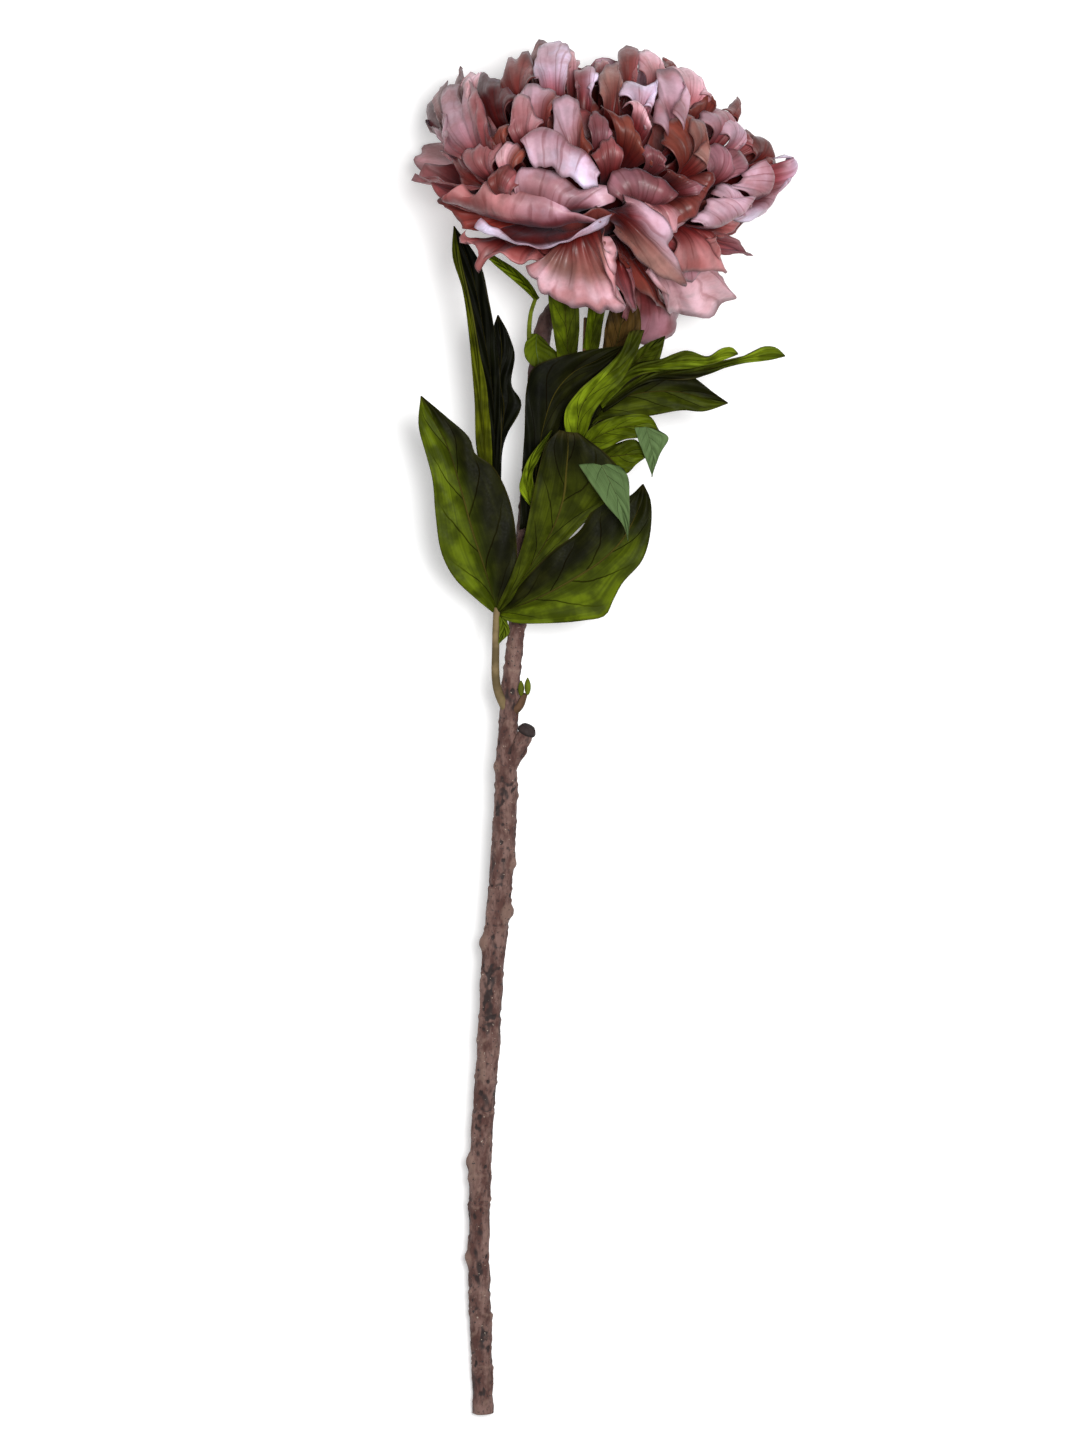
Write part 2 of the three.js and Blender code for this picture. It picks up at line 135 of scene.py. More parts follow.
# %% Node group helpers
def group(name, takes, gives):
    """An empty node group with number sockets: its tree, its inputs and its outputs."""
    tree = bpy.data.node_groups.new(name, "ShaderNodeTree")
    for label, value in takes.items():
        made = tree.interface.new_socket(label, in_out="INPUT", socket_type="NodeSocketFloat")
        made.default_value = value
    for label in gives:
        tree.interface.new_socket(label, in_out="OUTPUT", socket_type="NodeSocketFloat")
    inside = tree.nodes.new("NodeGroupInput").outputs
    return tree, inside, tree.nodes.new("NodeGroupOutput").inputs


def placed(tree, shared, **values):
    """Places a shared group in a material and gives its outputs."""
    made = tree.nodes.new("ShaderNodeGroup")
    made.node_tree = shared
    for label, value in values.items():
        made.inputs[label].default_value = value
    return made.outputs


# %% Ribs
def make_ribs():
    """Lines that run from a blade's base to its tip, as in a petal that was folded in the bud."""
    tree, take, give = group("ribs", {"Count": 8.0, "Wander": 0.6}, ["Broad", "Fine"])
    x, y, _ = blade_map(tree)
    place = node(tree, "TexCoord").outputs["Object"]
    drift = times(tree, clouds(tree, place, 45.0, 2.0), take["Wander"])
    column = maths(tree, "ADD", times(tree, x, take["Count"]), drift)
    start = times(tree, node(tree, "SeparateXYZ", {0: place}).outputs[2], 9.0)
    spot = node(tree, "CombineXYZ", {0: column, 1: y, 2: start}).outputs[0]
    narrow = node(tree, "Mapping", {"Vector": spot, "Scale": (4.0, 1.3, 1.0)}).outputs[0]
    tree.links.new(clouds(tree, spot, 1.0, 2.0), give["Broad"])
    tree.links.new(clouds(tree, narrow, 1.0, 2.0), give["Fine"])
    return tree


RIBS = make_ribs()
print("shared group:", RIBS.name)


# %% Rim
def make_rim():
    """1 at a blade's rim, falling to 0 inside it."""
    tree, take, give = group("rim", {"Width": 0.05}, ["Mask"])
    x, y, _ = blade_map(tree)
    inside = maths(tree, "SUBTRACT", 1.0, maths(tree, "MAXIMUM", from_middle(tree, x), y))
    mask = maths(tree, "SUBTRACT", 1.0, maths(tree, "DIVIDE", inside, take["Width"]), clamp=True)
    tree.links.new(mask, give["Mask"])
    return tree


RIM = make_rim()
print("shared group:", RIM.name)


# %% Veins
VEIN_WANDER = 0.5
RIB_WIDTH = 0.03


def make_veins():
    """A leaf's middle rib, and side veins that slant from it towards the tip."""
    takes = {"Count": 4.5, "Slant": 0.3, "Width": 0.03}
    tree, take, give = group("veins", takes, ["Mask", "Swell"])
    x, y, _ = blade_map(tree)
    away = from_middle(tree, x)
    slanted = maths(tree, "SUBTRACT", y, times(tree, away, take["Slant"]))
    other_side = times(tree, maths(tree, "GREATER_THAN", x, 0.5), 0.4)
    step = maths(tree, "ADD", times(tree, slanted, take["Count"]), other_side)
    place = node(tree, "TexCoord").outputs["Object"]
    step = maths(tree, "ADD", step, times(tree, clouds(tree, place, 40.0), VEIN_WANDER))
    off = maths(tree, "ABSOLUTE", maths(tree, "SUBTRACT", maths(tree, "FRACT", step), 0.5))
    line = maths(tree, "SUBTRACT", 1.0, maths(tree, "DIVIDE", off, take["Width"]), clamp=True)
    side = times(tree, line, ease(tree, away, 0.95, 0.35))
    rib = maths(tree, "SUBTRACT", 1.0, maths(tree, "DIVIDE", away, RIB_WIDTH), clamp=True)
    tree.links.new(maths(tree, "MAXIMUM", side, rib), give["Mask"])
    tree.links.new(ease(tree, off, 0.0, 0.5), give["Swell"])
    return tree


VEINS = make_veins()
print("shared group:", VEINS.name)


# %% Mottle
def make_mottle():
    """Soft blotches, with finer ones inside them."""
    tree, take, give = group("mottle", {"Scale": 60.0}, ["Blotch", "Grain"])
    place = node(tree, "TexCoord").outputs["Object"]
    blotch = clouds(tree, place, take["Scale"])
    grain = clouds(tree, place, times(tree, take["Scale"], 9.0), 4.0)
    tree.links.new(ease(tree, blotch, 0.35, 0.65), give["Blotch"])
    tree.links.new(grain, give["Grain"])
    return tree


MOTTLE = make_mottle()
print("shared group:", MOTTLE.name)


# %% [markdown]
# ## How a material ends
# Each finish ends in one Principled shader. What is the same all over, such as its sheen,
# is set on the shader itself; what changes over the surface is plugged in.


# %% Material helpers
def fresh(name):
    """A new material and its empty node tree."""
    material = bpy.data.materials.new(name)
    material.use_nodes = True
    material.node_tree.nodes.clear()
    return material, material.node_tree


def close(tree, color, roughness, height, depth, fixed):
    """The shader at the end. depth is the height of the bumps in millimetres."""
    bump = node(tree, "Bump", {"Height": height, "Distance": depth * MM}).outputs[0]
    inputs = {"Base Color": color, "Roughness": roughness, "Normal": bump, **fixed}
    shader = node(tree, "BsdfPrincipled", inputs).outputs[0]
    node(tree, "OutputMaterial", {0: shader})


def tone_of(tree):
    """The colour that each blade was given when it was made."""
    return node(tree, "Attribute", attribute_name="tone").outputs["Color"]


# %% [markdown]
# ## Petals: satin, dusty pink, darker where they start
# A peony petal is thin and silky. Its base is deep rose, partly its own colour and partly painted
# shade where it goes under the petals in front, and it pales towards the rim. Fine folds from the
# bud stay in it, with painted shade in their valleys. Soft clouds of paler and browner colour lie
# over it: painted highlights where the satin would shine, and painted shade between them. Its rim
# is a thin brown line. It could be one colour with a pattern on top, but each petal has its own
# tone, so the finish reads that tone and only makes it paler, warmer or darker. A weak sheen
# stands for the silky hairs; a stronger one turns the dark petals grey.


# %% Petal finishes
PETAL_SHINE = {"Sheen Weight": 0.08, "Sheen Roughness": 0.4,
               "Sheen Tint": seen(236, 220, 240), "Specular IOR Level": 0.34}
SATIN_HIGHLIGHT, DUST, ROOT_RED_AND_SHADE = seen(235, 232, 255), seen(186, 150, 150), seen(160, 74, 72)
WARM_SHADE, FOLD_SHADE, RIM_LINE = seen(176, 128, 116), seen(190, 150, 148), seen(96, 48, 46)
HIGHLIGHT_PALER = 2.1
PETAL_BUMP = 0.75


def petal_finish(name, highlight_strength, dull):
    """Makes a petal finish from how strong its painted highlights are, and from dull, the roughness."""
    material, tree = fresh(name)
    x, y, _ = blade_map(tree)
    tone = tone_of(tree)
    broad, fine = placed(tree, RIBS, Count=4.0)
    rim = placed(tree, RIM, Width=0.03)["Mask"]
    blotch, grain = placed(tree, MOTTLE, Scale=55.0)
    highlight_cloud = placed(tree, MOTTLE, Scale=110.0)["Blotch"]
    # painted highlight: a paler, lilac copy of the tone, mixed in at the middle of each petal and in soft
    # clouds, where the satin would shine
    pale = node(tree, "VectorMath", {0: tone, "Scale": HIGHLIGHT_PALER}, operation="SCALE").outputs[0]
    pale = mixed(tree, 0.25, pale, SATIN_HIGHLIGHT, "MULTIPLY")
    middle = times(tree, ease(tree, from_middle(tree, x), 1.0, 0.5), ease(tree, y, 0.45, 0.65))
    patch = times(tree, middle, ease(tree, broad, 0.42, 0.6))
    color = mixed(tree, times(tree, patch, highlight_strength), tone, pale)
    color = mixed(tree, times(tree, highlight_cloud, 0.5), color, pale)
    color = mixed(tree, ease(tree, grain, 0.42, 0.6, 0.0, 0.1), color, DUST, "MULTIPLY")
    # darker towards the base: partly the petal's own deeper colour, partly painted shade where it goes under
    # the petals in front
    color = mixed(tree, ease(tree, y, 0.94, 0.52), color, ROOT_RED_AND_SHADE, "MULTIPLY")
    # painted shade: warm brown blotches between the painted highlights, partly the petal's own uneven tone
    color = mixed(tree, times(tree, blotch, 0.75), color, WARM_SHADE, "MULTIPLY")
    # painted shade in the valleys of the fine folds
    color = mixed(tree, ease(tree, fine, 0.48, 0.36, 0.0, 0.6), color, FOLD_SHADE, "MULTIPLY")
    color = mixed(tree, times(tree, rim, 0.6), color, RIM_LINE)
    roughness = ease(tree, grain, 0.3, 0.7, dull - 0.05, dull + 0.07)
    height = maths(tree, "ADD", times(tree, broad, 0.6), times(tree, fine, 0.4))
    close(tree, color, roughness, height, PETAL_BUMP, PETAL_SHINE)
    return material


PETAL_FINISHES = [petal_finish("petal_outside", 0.8, 0.44), petal_finish("petal_inside", 0.9, 0.42)]
print("petal finishes:", [finish.name for finish in PETAL_FINISHES])

# %% Petal tones
# The darker tones are partly the petals' own colours and partly painted shade on petals that lie in shadow,
# and the palest ones are partly painted highlights on petals that face the light. heart is the red painted
# as shade deep inside the bloom, partly the petals' own deeper colour there.
TONES = {
    "lilac": seen(202, 190, 212),
    "pale": seen(200, 162, 170),
    "silver": seen(170, 140, 152),
    "pink": seen(154, 110, 114),
    "coral": seen(164, 110, 110),
    "rose": seen(130, 74, 76),
    "mauve": seen(128, 86, 94),
    "taupe": seen(130, 92, 84),
    "brown": seen(102, 46, 40),
    "rust": seen(112, 56, 44),
    "maroon": seen(68, 10, 10),
    "heart": seen(132, 48, 40),
}
print("petal tones:", list(TONES))

# %% [markdown]
# ## Leaves: dark and smooth above, blue-green below
# A peony leaf is smooth and a little leathery. Its veins sink into it and let the blade
# between them swell, with paler patches there, and a pale rib runs up its middle. Its
# underside is paler and matt. One function makes both finishes, because they differ only
# in their colours, in how pale the patches are, and in how rough and bumpy they are.


# %% Leaf finishes
BETWEEN_LINES, LEAF_RIM = seen(150, 150, 130), seen(70, 62, 30)


def leaf_finish(name, vein, rib, patch, dull, depth):
    """vein and rib are colours, and patch is how much paler the patches between veins are."""
    material, tree = fresh(name)
    tone = tone_of(tree)
    mask, swell = placed(tree, VEINS)
    blotch, grain = placed(tree, MOTTLE, Scale=95.0)
    broad, fine = placed(tree, RIBS, Count=12.0)
    rim = placed(tree, RIM, Width=0.05)["Mask"]
    middle = from_middle(tree, blade_map(tree)[0])
    blotch = times(tree, ease(tree, broad, 0.3, 0.6, 0.25), blotch)
    pale = node(tree, "VectorMath", {0: tone, "Scale": patch}, operation="SCALE").outputs[0]
    color = mixed(tree, blotch, tone, pale)
    color = mixed(tree, ease(tree, fine, 0.6, 0.35, 0.0, 0.3), color, BETWEEN_LINES, "MULTIPLY")
    color = mixed(tree, times(tree, rim, 0.4), color, LEAF_RIM)
    color = mixed(tree, times(tree, mask, 0.7), color, vein)
    color = mixed(tree, ease(tree, middle, 0.035, 0.012, 0.0, 0.8), color, rib)
    roughness = ease(tree, grain, 0.3, 0.7, dull - 0.06, dull + 0.08)
    sunk = maths(tree, "SUBTRACT", swell, times(tree, mask, 0.8))
    close(tree, color, roughness, sunk, depth, {"Specular IOR Level": 0.06})
    return material


LEAF_ABOVE = leaf_finish("leaf_above", seen(34, 22, 8), seen(92, 84, 34), 2.6, 0.55, 0.8)
LEAF_BELOW = leaf_finish("leaf_below", seen(78, 96, 52), seen(110, 128, 80), 1.12, 0.6, 0.5)
LEAF_FINISHES = [LEAF_ABOVE, LEAF_BELOW]
print("leaf finishes:", [finish.name for finish in LEAF_FINISHES])

# %% Leaf and stalk tones
# dark and deep are partly the leaves' own dark green and partly painted shade on leaves and halves that lie
# in shadow.
GREENS = {
    "dark": seen(7, 8, 2),
    "deep": seen(17, 18, 2),
    "olive": seen(42, 48, 4),
    "light": seen(58, 68, 4),
    "young": seen(84, 98, 12),
    "mustard": seen(56, 60, 3),
    "bronze": seen(48, 34, 12),
    "blue": seen(86, 108, 66),
    "tan": seen(108, 92, 68),
    "twig": seen(88, 62, 52),
    "maroon": seen(70, 42, 34),
    "calyx": seen(66, 84, 28),
}
print("leaf tones:", list(GREENS))

# %% [markdown]
# ## Bark: red-brown, with dark streaks, pits and cork spots
# The woody stem is reddish brown, darker in patches and streaks that are drawn out along it.
# It is painted darker still near the bloom, as painted shade where the leaves and the bloom
# shade the stem. The mesh itself carries the larger bumps and says where they are with an
# attribute called "relief", so that pits can be dark and ridges pale.


# %% Bark finish
BARK_DARK, BARK_PALE, STREAK = seen(78, 48, 42), seen(116, 87, 79), seen(54, 32, 28)
RIDGE, PIT, STEM_SHADE = seen(130, 104, 92), seen(42, 28, 26), seen(52, 26, 24)
CORK, SOOT = seen(170, 156, 140), seen(38, 36, 38)
STEM_SHADE_FROM, STEM_SHADE_FULL = 0.07, 0.12
BARK_BUMP = 0.9


def bark_finish():
    material, tree = fresh("bark")
    relief = node(tree, "Attribute", attribute_name="relief").outputs["Fac"]
    place = node(tree, "TexCoord").outputs["Object"]
    along = node(tree, "SeparateXYZ", {0: place}).outputs["Y"]
    drawn = node(tree, "Mapping", {"Vector": place, "Scale": (1.0, 0.35, 1.0)}).outputs[0]
    patches = clouds(tree, drawn, 190.0, 4.0, 0.6)
    streaks = clouds(tree, drawn, 900.0, 3.0, 0.6)
    specks = clouds(tree, place, 700.0, 2.0)
    color = mixed(tree, ease(tree, patches, 0.38, 0.62), BARK_DARK, BARK_PALE)
    color = mixed(tree, ease(tree, streaks, 0.48, 0.75, 0.0, 0.8), color, STREAK)
    color = mixed(tree, ease(tree, relief, 0.6, 1.0, 0.0, 0.6), color, RIDGE)
    color = mixed(tree, ease(tree, relief, 0.44, 0.18), color, PIT)
    color = mixed(tree, ease(tree, specks, 0.7, 0.75), color, CORK)
    color = mixed(tree, ease(tree, specks, 0.36, 0.3, 0.0, 0.9), color, SOOT)
    # painted shade: the stem darker towards the bloom, where the leaves and the bloom shade it
    color = mixed(tree, ease(tree, along, STEM_SHADE_FROM, STEM_SHADE_FULL, 0.0, 0.75), color, STEM_SHADE)
    height = maths(tree, "ADD", times(tree, patches, 0.6), times(tree, streaks, 0.4))
    close(tree, color, ease(tree, patches, 0.3, 0.7, 0.9, 0.72), height, BARK_BUMP, {})
    return material


BARK = bark_finish()
print("bark finish:", BARK.name)


# %% [markdown]
# ## A path through a few points
# Stalks and ribs bend smoothly through a few stations. The curve used is the same one that
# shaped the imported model, so that what is made here lies on it.


# %% Path helper
def smooth_path(points, per_span=40):
    """A line through the points and, for each of its places, the number of the station."""
    p = np.array(points, float)
    p = np.vstack([2 * p[0] - p[1], p, 2 * p[-1] - p[-2]])
    t = np.linspace(0, 1, per_span, endpoint=False)[:, None]
    spans = []
    for a, b, c, d in zip(p, p[1:], p[2:], p[3:]):
        r, s, q = (np.linalg.norm(n - m) ** 0.5 for m, n in ((a, b), (b, c), (c, d)))
        leave = ((b - a) / r - (c - a) / (r + s) + (c - b) / s) * s
        arrive = ((c - b) / s - (d - b) / (s + q) + (d - c) / q) * s
        cubic = 2 * b - 2 * c + leave + arrive
        spans.append(b + leave * t + (3 * c - 3 * b - 2 * leave - arrive) * t**2 + cubic * t**3)
    line = np.vstack(spans + [p[-2][None]])
    return line, np.arange(len(line)) / per_span


def walk(points, share):
    """Points, directions and station numbers at shares of a path's length."""
    line, station = smooth_path(points)
    steps = np.linalg.norm(np.diff(line, axis=0), axis=1)
    length = np.concatenate([[0], np.cumsum(steps)])
    at = np.asarray(share) * length[-1]
    place = np.stack([np.interp(at, length, line[:, k]) for k in range(3)], axis=1)
    slope = np.gradient(line, length, axis=0)
    ahead = np.stack([np.interp(at, length, slope[:, k]) for k in range(3)], axis=1)
    return place, ahead / np.linalg.norm(ahead, axis=1)[:, None], np.interp(at, length, station)


print("path test, middle of a quarter turn:", walk([(1, 0, 0), (0.7, 0.7, 0), (0, 1, 0)], [0.5])[0])


# %% [markdown]
# ## From a flat grid to a blade
# A petal or a leaf starts as a flat grid, which brings its own map, and then each point of
# the grid moves to its place on the blade. All blades of one piece share a bmesh. The
# Solidify modifier gives them their thickness at the end, and another finish at the back.


# %% A new bmesh, and a blade in it
def start_piece():
    bm = bmesh.new()
    bm.loops.layers.uv.new("blade")
    bm.verts.layers.float_color.new("tone")
    return bm


def add_blade(bm, shape, columns, rows, paint):
    """Adds a grid. shape turns across (-1 to 1) and along (0 to 1) into millimetres, and
    paint turns them into colours."""
    grid = bmesh.ops.create_grid(bm, x_segments=columns, y_segments=rows, size=1.0, calc_uvs=True)
    verts = grid["verts"]
    flat = np.array([v.co for v in verts])
    across, along = flat[:, 0], flat[:, 1] / 2 + 0.5
    layer = bm.verts.layers.float_color["tone"]
    places = shape(across, along)
    for v, place, shade in zip(verts, places * MM, paint(across, along, places)):
        v.co = place
        v[layer] = shade


def plain(tone):
    """Paints a blade in one colour."""
    return lambda across, along, places: [tone] * len(across)


# %% The end of a piece
def end_piece(bm, name, finishes, nodes, thickness=0.0):
    """Turns the bmesh into an object that rides on the part and stands for its nodes."""
    mesh = bpy.data.meshes.new(name)
    bm.to_mesh(mesh)
    bm.free()
    mesh.shade_smooth()
    for finish in finishes:
        mesh.materials.append(finish)
    piece = bpy.data.objects.new(name, mesh)
    bpy.context.scene.collection.objects.link(piece)
    if thickness:
        wall = piece.modifiers.new("thickness", "SOLIDIFY")
        wall.thickness = thickness * MM
        wall.offset = 0.0
        wall.material_offset = 1
    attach(piece, "root")
    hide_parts(*nodes)
    print(f"{name}: {len(mesh.polygons)} faces")
    return piece


# %% [markdown]
# ## A round limb
# Stalks, twigs and the stem are tubes of changing width. A cylinder is cut into rings along
# its length, and each ring then moves to its station on the path. A relief function may
# push the skin in or out, and what it pushed is kept for the finish to read.


# %% Limb helper
def add_limb(bm, stations, sides, rings, tone, relief=None):
    """Adds a closed tube through stations of x, y, z and radius, in millimetres."""
    first_vert, first_edge = len(bm.verts), len(bm.edges)
    bmesh.ops.create_cone(bm, cap_ends=True, segments=sides, radius1=1.0, radius2=1.0, depth=1.0)
    bm.edges.ensure_lookup_table()
    lengthwise = [e for e in bm.edges[first_edge:] if abs(e.verts[0].co.z - e.verts[1].co.z) > 0.5]
    bmesh.ops.subdivide_edges(bm, edges=lengthwise, cuts=rings - 1)
    bm.verts.ensure_lookup_table()
    verts = bm.verts[first_vert:]
    flat = np.array([v.co for v in verts])
    centre, ahead, station = walk([row[:3] for row in stations], flat[:, 2] + 0.5)
    radius = np.interp(station, range(len(stations)), [row[3] for row in stations])
    side = np.cross(ahead, (0.0, 0.0, 1.0))
    side /= np.linalg.norm(side, axis=1)[:, None]
    up = np.cross(side, ahead)
    out = side * flat[:, :1] + up * flat[:, 1:2]
    places = centre + out * radius[:, None]
    layer = bm.verts.layers.float_color["tone"]
    held = bm.verts.layers.float.get("relief")
    for v, place, away in zip(verts, places, out):
        if relief:
            push, v[held] = relief(place)
            place = place + away * push
        v.co = place * MM
        v[layer] = tone
    return verts


# %% [markdown]
# ## The woody stem
# The stem is a shoot of last year's wood, cut off at one end, with knots, ring scars where
# bud scales fell, and cork spots. It is one long limb with a relief made of noise that is
# stretched along it. The pruned side branch is a limb of its own with a hollow end.

# %% The stem
STEM = [
    (-60.1, -354, 5.2, 5.4), (-62.2, -270, 13.2, 5.5), (-61.2, -219, 18.1, 5.6),
    (-57.6, -169, 22.9, 5.7), (-54.6, -118, 27.7, 5.9), (-49.5, -62, 33.0, 6.0),
    (-47.5, -16, 37.3, 5.4), (-45.9, 14, 40.2, 4.8), (-43.4, 44, 43.1, 4.3),
    (-38.9, 95, 47.9, 4.4), (-34.3, 141, 51.8, 4.5), (-31.2, 188, 54.6, 4.5),
    (-27.0, 206, 55.6, 4.4), (-16.5, 220, 57.6, 4.3), (-9.0, 231, 61.5, 4.3),
    (-7.7, 242.3, 67.4, 4.2),
]
KNOTS = [
    (-47.6, -94, 31.5, 3.6), (-58.6, -110, 29.5, 3.6), (-64.6, -223, 18.5, 3.8),
    (-66.3, -273, 13.6, 3.4), (-43.6, -70, 35.5, 2.8), (-52.0, -20, 38.5, 2.8),
]
RING_SCARS = [-330, -302, -291, -246, -231, -198, -181, -150, -126, -103, -83, -48, -30, 2, 30]
STUB = [(-47.5, -22, 37.0, 4.6), (-42.5, -12, 40.5, 4.2), (-37.5, -2, 44.0, 3.9)]
HOLLOW = [(1.1, 0.0), (0.5, 1.4), (0.7, 1.4)]
STEM_SIDES, STEM_RINGS = 40, 760
STUB_SIDES, STUB_RINGS = 28, 26
print(len(STEM), "stations,", len(KNOTS), "knots and", len(RING_SCARS), "ring scars")


# %% The bark's relief
def bark_relief(place):
    """How far the bark stands out here in millimetres, and the same from 0 to 1 for colour."""
    x, y, z = place
    push = 0.75 * noise.noise(Vector((x / 6, y / 13, z / 6)))  # swellings
    push += 0.4 * noise.noise(Vector((x / 1.8, y / 3.4, z / 1.8)))  # rough skin
    push += 1.6 * max(0.0, noise.noise(Vector((x / 3.4 + 40, y / 5, z / 3.4))) - 0.28)  # warts
    push -= 2.0 * max(0.0, noise.noise(Vector((x / 2.6 + 9, y / 3, z / 2.6))) - 0.3)  # pits
    for scar in RING_SCARS:
        off = y - scar - 3.0 * noise.noise(Vector((x / 5, scar, z / 5)))
        push += 0.4 * math.exp(-((off / 0.9) ** 2)) - 0.25 * math.exp(-(((off - 1.8) / 0.8) ** 2))
    for kx, ky, kz, radius in KNOTS:
        off = math.dist(place, (kx, ky, kz)) / radius
        push += 0.75 * radius * math.exp(-(off**2) * 1.1) * (1 - 0.5 * math.exp(-(off**2) * 9))
    return push, min(1.0, max(0.0, 0.5 + push / 1.6))


# %% Making the stem and its stub
def make_stem():
    """The stub's end face is the cap nearest to its last station; HOLLOW holds how far each
    step goes in from the rim and how far down."""
    bm = start_piece()
    relief = bm.verts.layers.float.new("relief")
    add_limb(bm, STEM, STEM_SIDES, STEM_RINGS, TONES["brown"], bark_relief)
    add_limb(bm, STUB, STUB_SIDES, STUB_RINGS, TONES["brown"], bark_relief)
    tip = Vector(STUB[-1][:3]) * MM
    caps = [face for face in bm.faces if len(face.verts) == STUB_SIDES]
    end = min(caps, key=lambda face: (face.calc_center_median() - tip).length)
    for width, drop in HOLLOW:
        bmesh.ops.inset_region(bm, faces=[end], thickness=width * MM, depth=-drop * MM)
        for v in end.verts:
            v[relief] = 0.0
    return end_piece(bm, "woody_stem", [BARK], ["stem"])


make_stem()

# %% [markdown]
# ## Where the bloom is
# All petals start in one place, the heart of the bloom. The flower's axis leans over with
# the stem, so what is built round an upright axis is turned before it is put there.

# %% The flower's own frame
HEART = np.array((-6.0, 258.0, 76.0))
LAID, LEAN = math.radians(-62), math.radians(-6)
TURNED = np.array(Matrix.Rotation(LEAN, 3, "Z") @ Matrix.Rotation(LAID, 3, "X"))
SURFACE_UP = TURNED.T @ (0.0, 0.0, 1.0)


def in_flower(place):
    """A place in the flower's own frame, in millimetres, put where the flower is."""
    return TURNED @ np.array(place) + HEART


def eased(x):
    """Goes smoothly from 0 to 1 while x does."""
    x = np.clip(x, 0, 1)
    return x * x * (3 - 2 * x)


print("the flower's axis points to", [round(c, 2) for c in TURNED @ (0.0, 0.0, 1.0)])

# %% [markdown]
# ## From a place in the photograph to a place on the flower
# The camera looks straight down, so an outline in the photograph is also the outline on the
# flower, apart from its height. With the height known, a place in the photograph, in its
# pixels, becomes millimetres. What is nearer to the camera looks larger, and the helper
# takes that out again. The bloom is a dome, and a petal lies a few millimetres under the
# dome's skin, so a petal's height follows from its place.

# %% Places in the photograph
PIXEL = 0.5076
PICTURE_MIDDLE = (543, 724)
LOOKS_FROM = np.array((-29.2, 1.8, 2500.0))
SCALED_AT = 50.0
DOME_MIDDLE, DOME_HALF = (600, 178), (186, 148)
DOME_FOOT, DOME_RISE = 76.0, 78.0


def in_picture(across, down, height):
    """Millimetres for a place in the photograph at a height over the surface."""
    step = PIXEL * (LOOKS_FROM[2] - height) / (LOOKS_FROM[2] - SCALED_AT)
    return (LOOKS_FROM[0] + (across - PICTURE_MIDDLE[0]) * step,
            LOOKS_FROM[1] - (down - PICTURE_MIDDLE[1]) * step, height)


def on_dome(across, down, depth):
    """Millimetres for a place in the photograph, so deep under the dome's skin."""
    off = math.hypot((across - DOME_MIDDLE[0]) / DOME_HALF[0], (down - DOME_MIDDLE[1]) / DOME_HALF[1])
    height = DOME_FOOT + DOME_RISE * math.sqrt(max(0.0, 1 - off**2)) - depth
    return in_picture(across, down, height)


print("top of the dome:", [round(c, 1) for c in on_dome(*DOME_MIDDLE, 0)])

# %% [markdown]
# ## A petal with a drawn outline
# Each petal starts in the heart of the bloom, bulges through its waist and ends at its rim.
# The waist and the rim are smooth lines through a few points, and every column of the
# petal's grid is an arc from the heart through the waist to the rim. Small waves, furrows
# and a curled edge are then pushed in along the petal's own normal.


# %% Drawn petal shape
NEAR = 0.01  # how far apart two places are that give a slope
PLEAT_DEPTH = 2.8
DENTS = [(2.4, 22), (1.3, 8)]  # how deep soft dents are and how wide, in millimetres


def drawn_petal(rim, rim_depth, waist, waist_depth, curl=1.0, crease=1.0, ruffle=1.0, pleats=0):
    """The shape of one petal from its rim and waist, which are lists of picture places. curl
    and ruffle bend the rim, crease deepens the furrows, and pleats are regular folds."""
    rim_line = [on_dome(*place, rim_depth) for place in rim]
    waist_line = [on_dome(*place, waist_depth) for place in waist]
    chance = random.Random(rim[0][0] + 7 * rim[0][1])
    furrows = [(chance.uniform(-0.8, 0.8), chance.uniform(0.06, 0.14), chance.uniform(0.5, 1.3))
               for _ in range(5)]
    phase = chance.uniform(0, 6)

    def arc(s, u):
        share = s / 2 + 0.5
        end = walk(rim_line, share)[0]
        middle = walk(waist_line, share)[0]
        start = HEART + 0.05 * (middle - HEART)
        pull = 2 * middle - (start + end) / 2
        u = u[:, None]
        return (1 - u) ** 2 * start + 2 * u * (1 - u) * pull + u**2 * end

    def shape(s, u):
        ragged = 0.010 * np.sin(9 * s + phase) + 0.006 * np.sin(23 * s + 2 * phase)
        t = u * (1 + ragged * u**3)
        places = arc(s, t)
        across = arc(s + NEAR, t) - arc(s - NEAR, t)
        along = arc(s, t + NEAR) - arc(s, t - NEAR)
        normal = np.cross(across, along)
        normal /= np.linalg.norm(normal, axis=1)[:, None] + 1e-9
        furrow = sum(deep * np.exp(-(((s - at) / wide) ** 2)) for at, wide, deep in furrows)
        lift = crease * 0.3 * furrow * eased((u - 0.3) / 0.6)
        lift += ruffle * u**5 * (np.sin(5 * s + phase) + 0.5 * np.sin(13 * s + 3 * phase))
        lift += curl * eased((u - 0.82) / 0.18) ** 2 * (1.2 + 0.6 * np.sin(4 * s + 2 * phase))
        fold = np.abs(np.sin(pleats * (s + 0.08 * np.sin(9 * s))))
        lift += PLEAT_DEPTH * fold * eased((u - 0.5) / 0.4)
        for k, place in enumerate(places):
            for height, size in DENTS:
                lift[k] += height * u[k] * noise.noise(Vector(place / size))
        return places - normal * lift[:, None]
    return shape


# %% [markdown]
# ## Tones on a petal
# Inside the bloom every petal is painted the heart's deep red, and it takes its own tone further
# out. That red is partly the deeper colour of petals near the heart and partly painted shade, for
# the light that doesn't get in between the petals. So the tone depends on where a point is in the
# bloom, and not only on where it is on its petal. Each point of the grid keeps its tone in an
# attribute, which the finishes read.


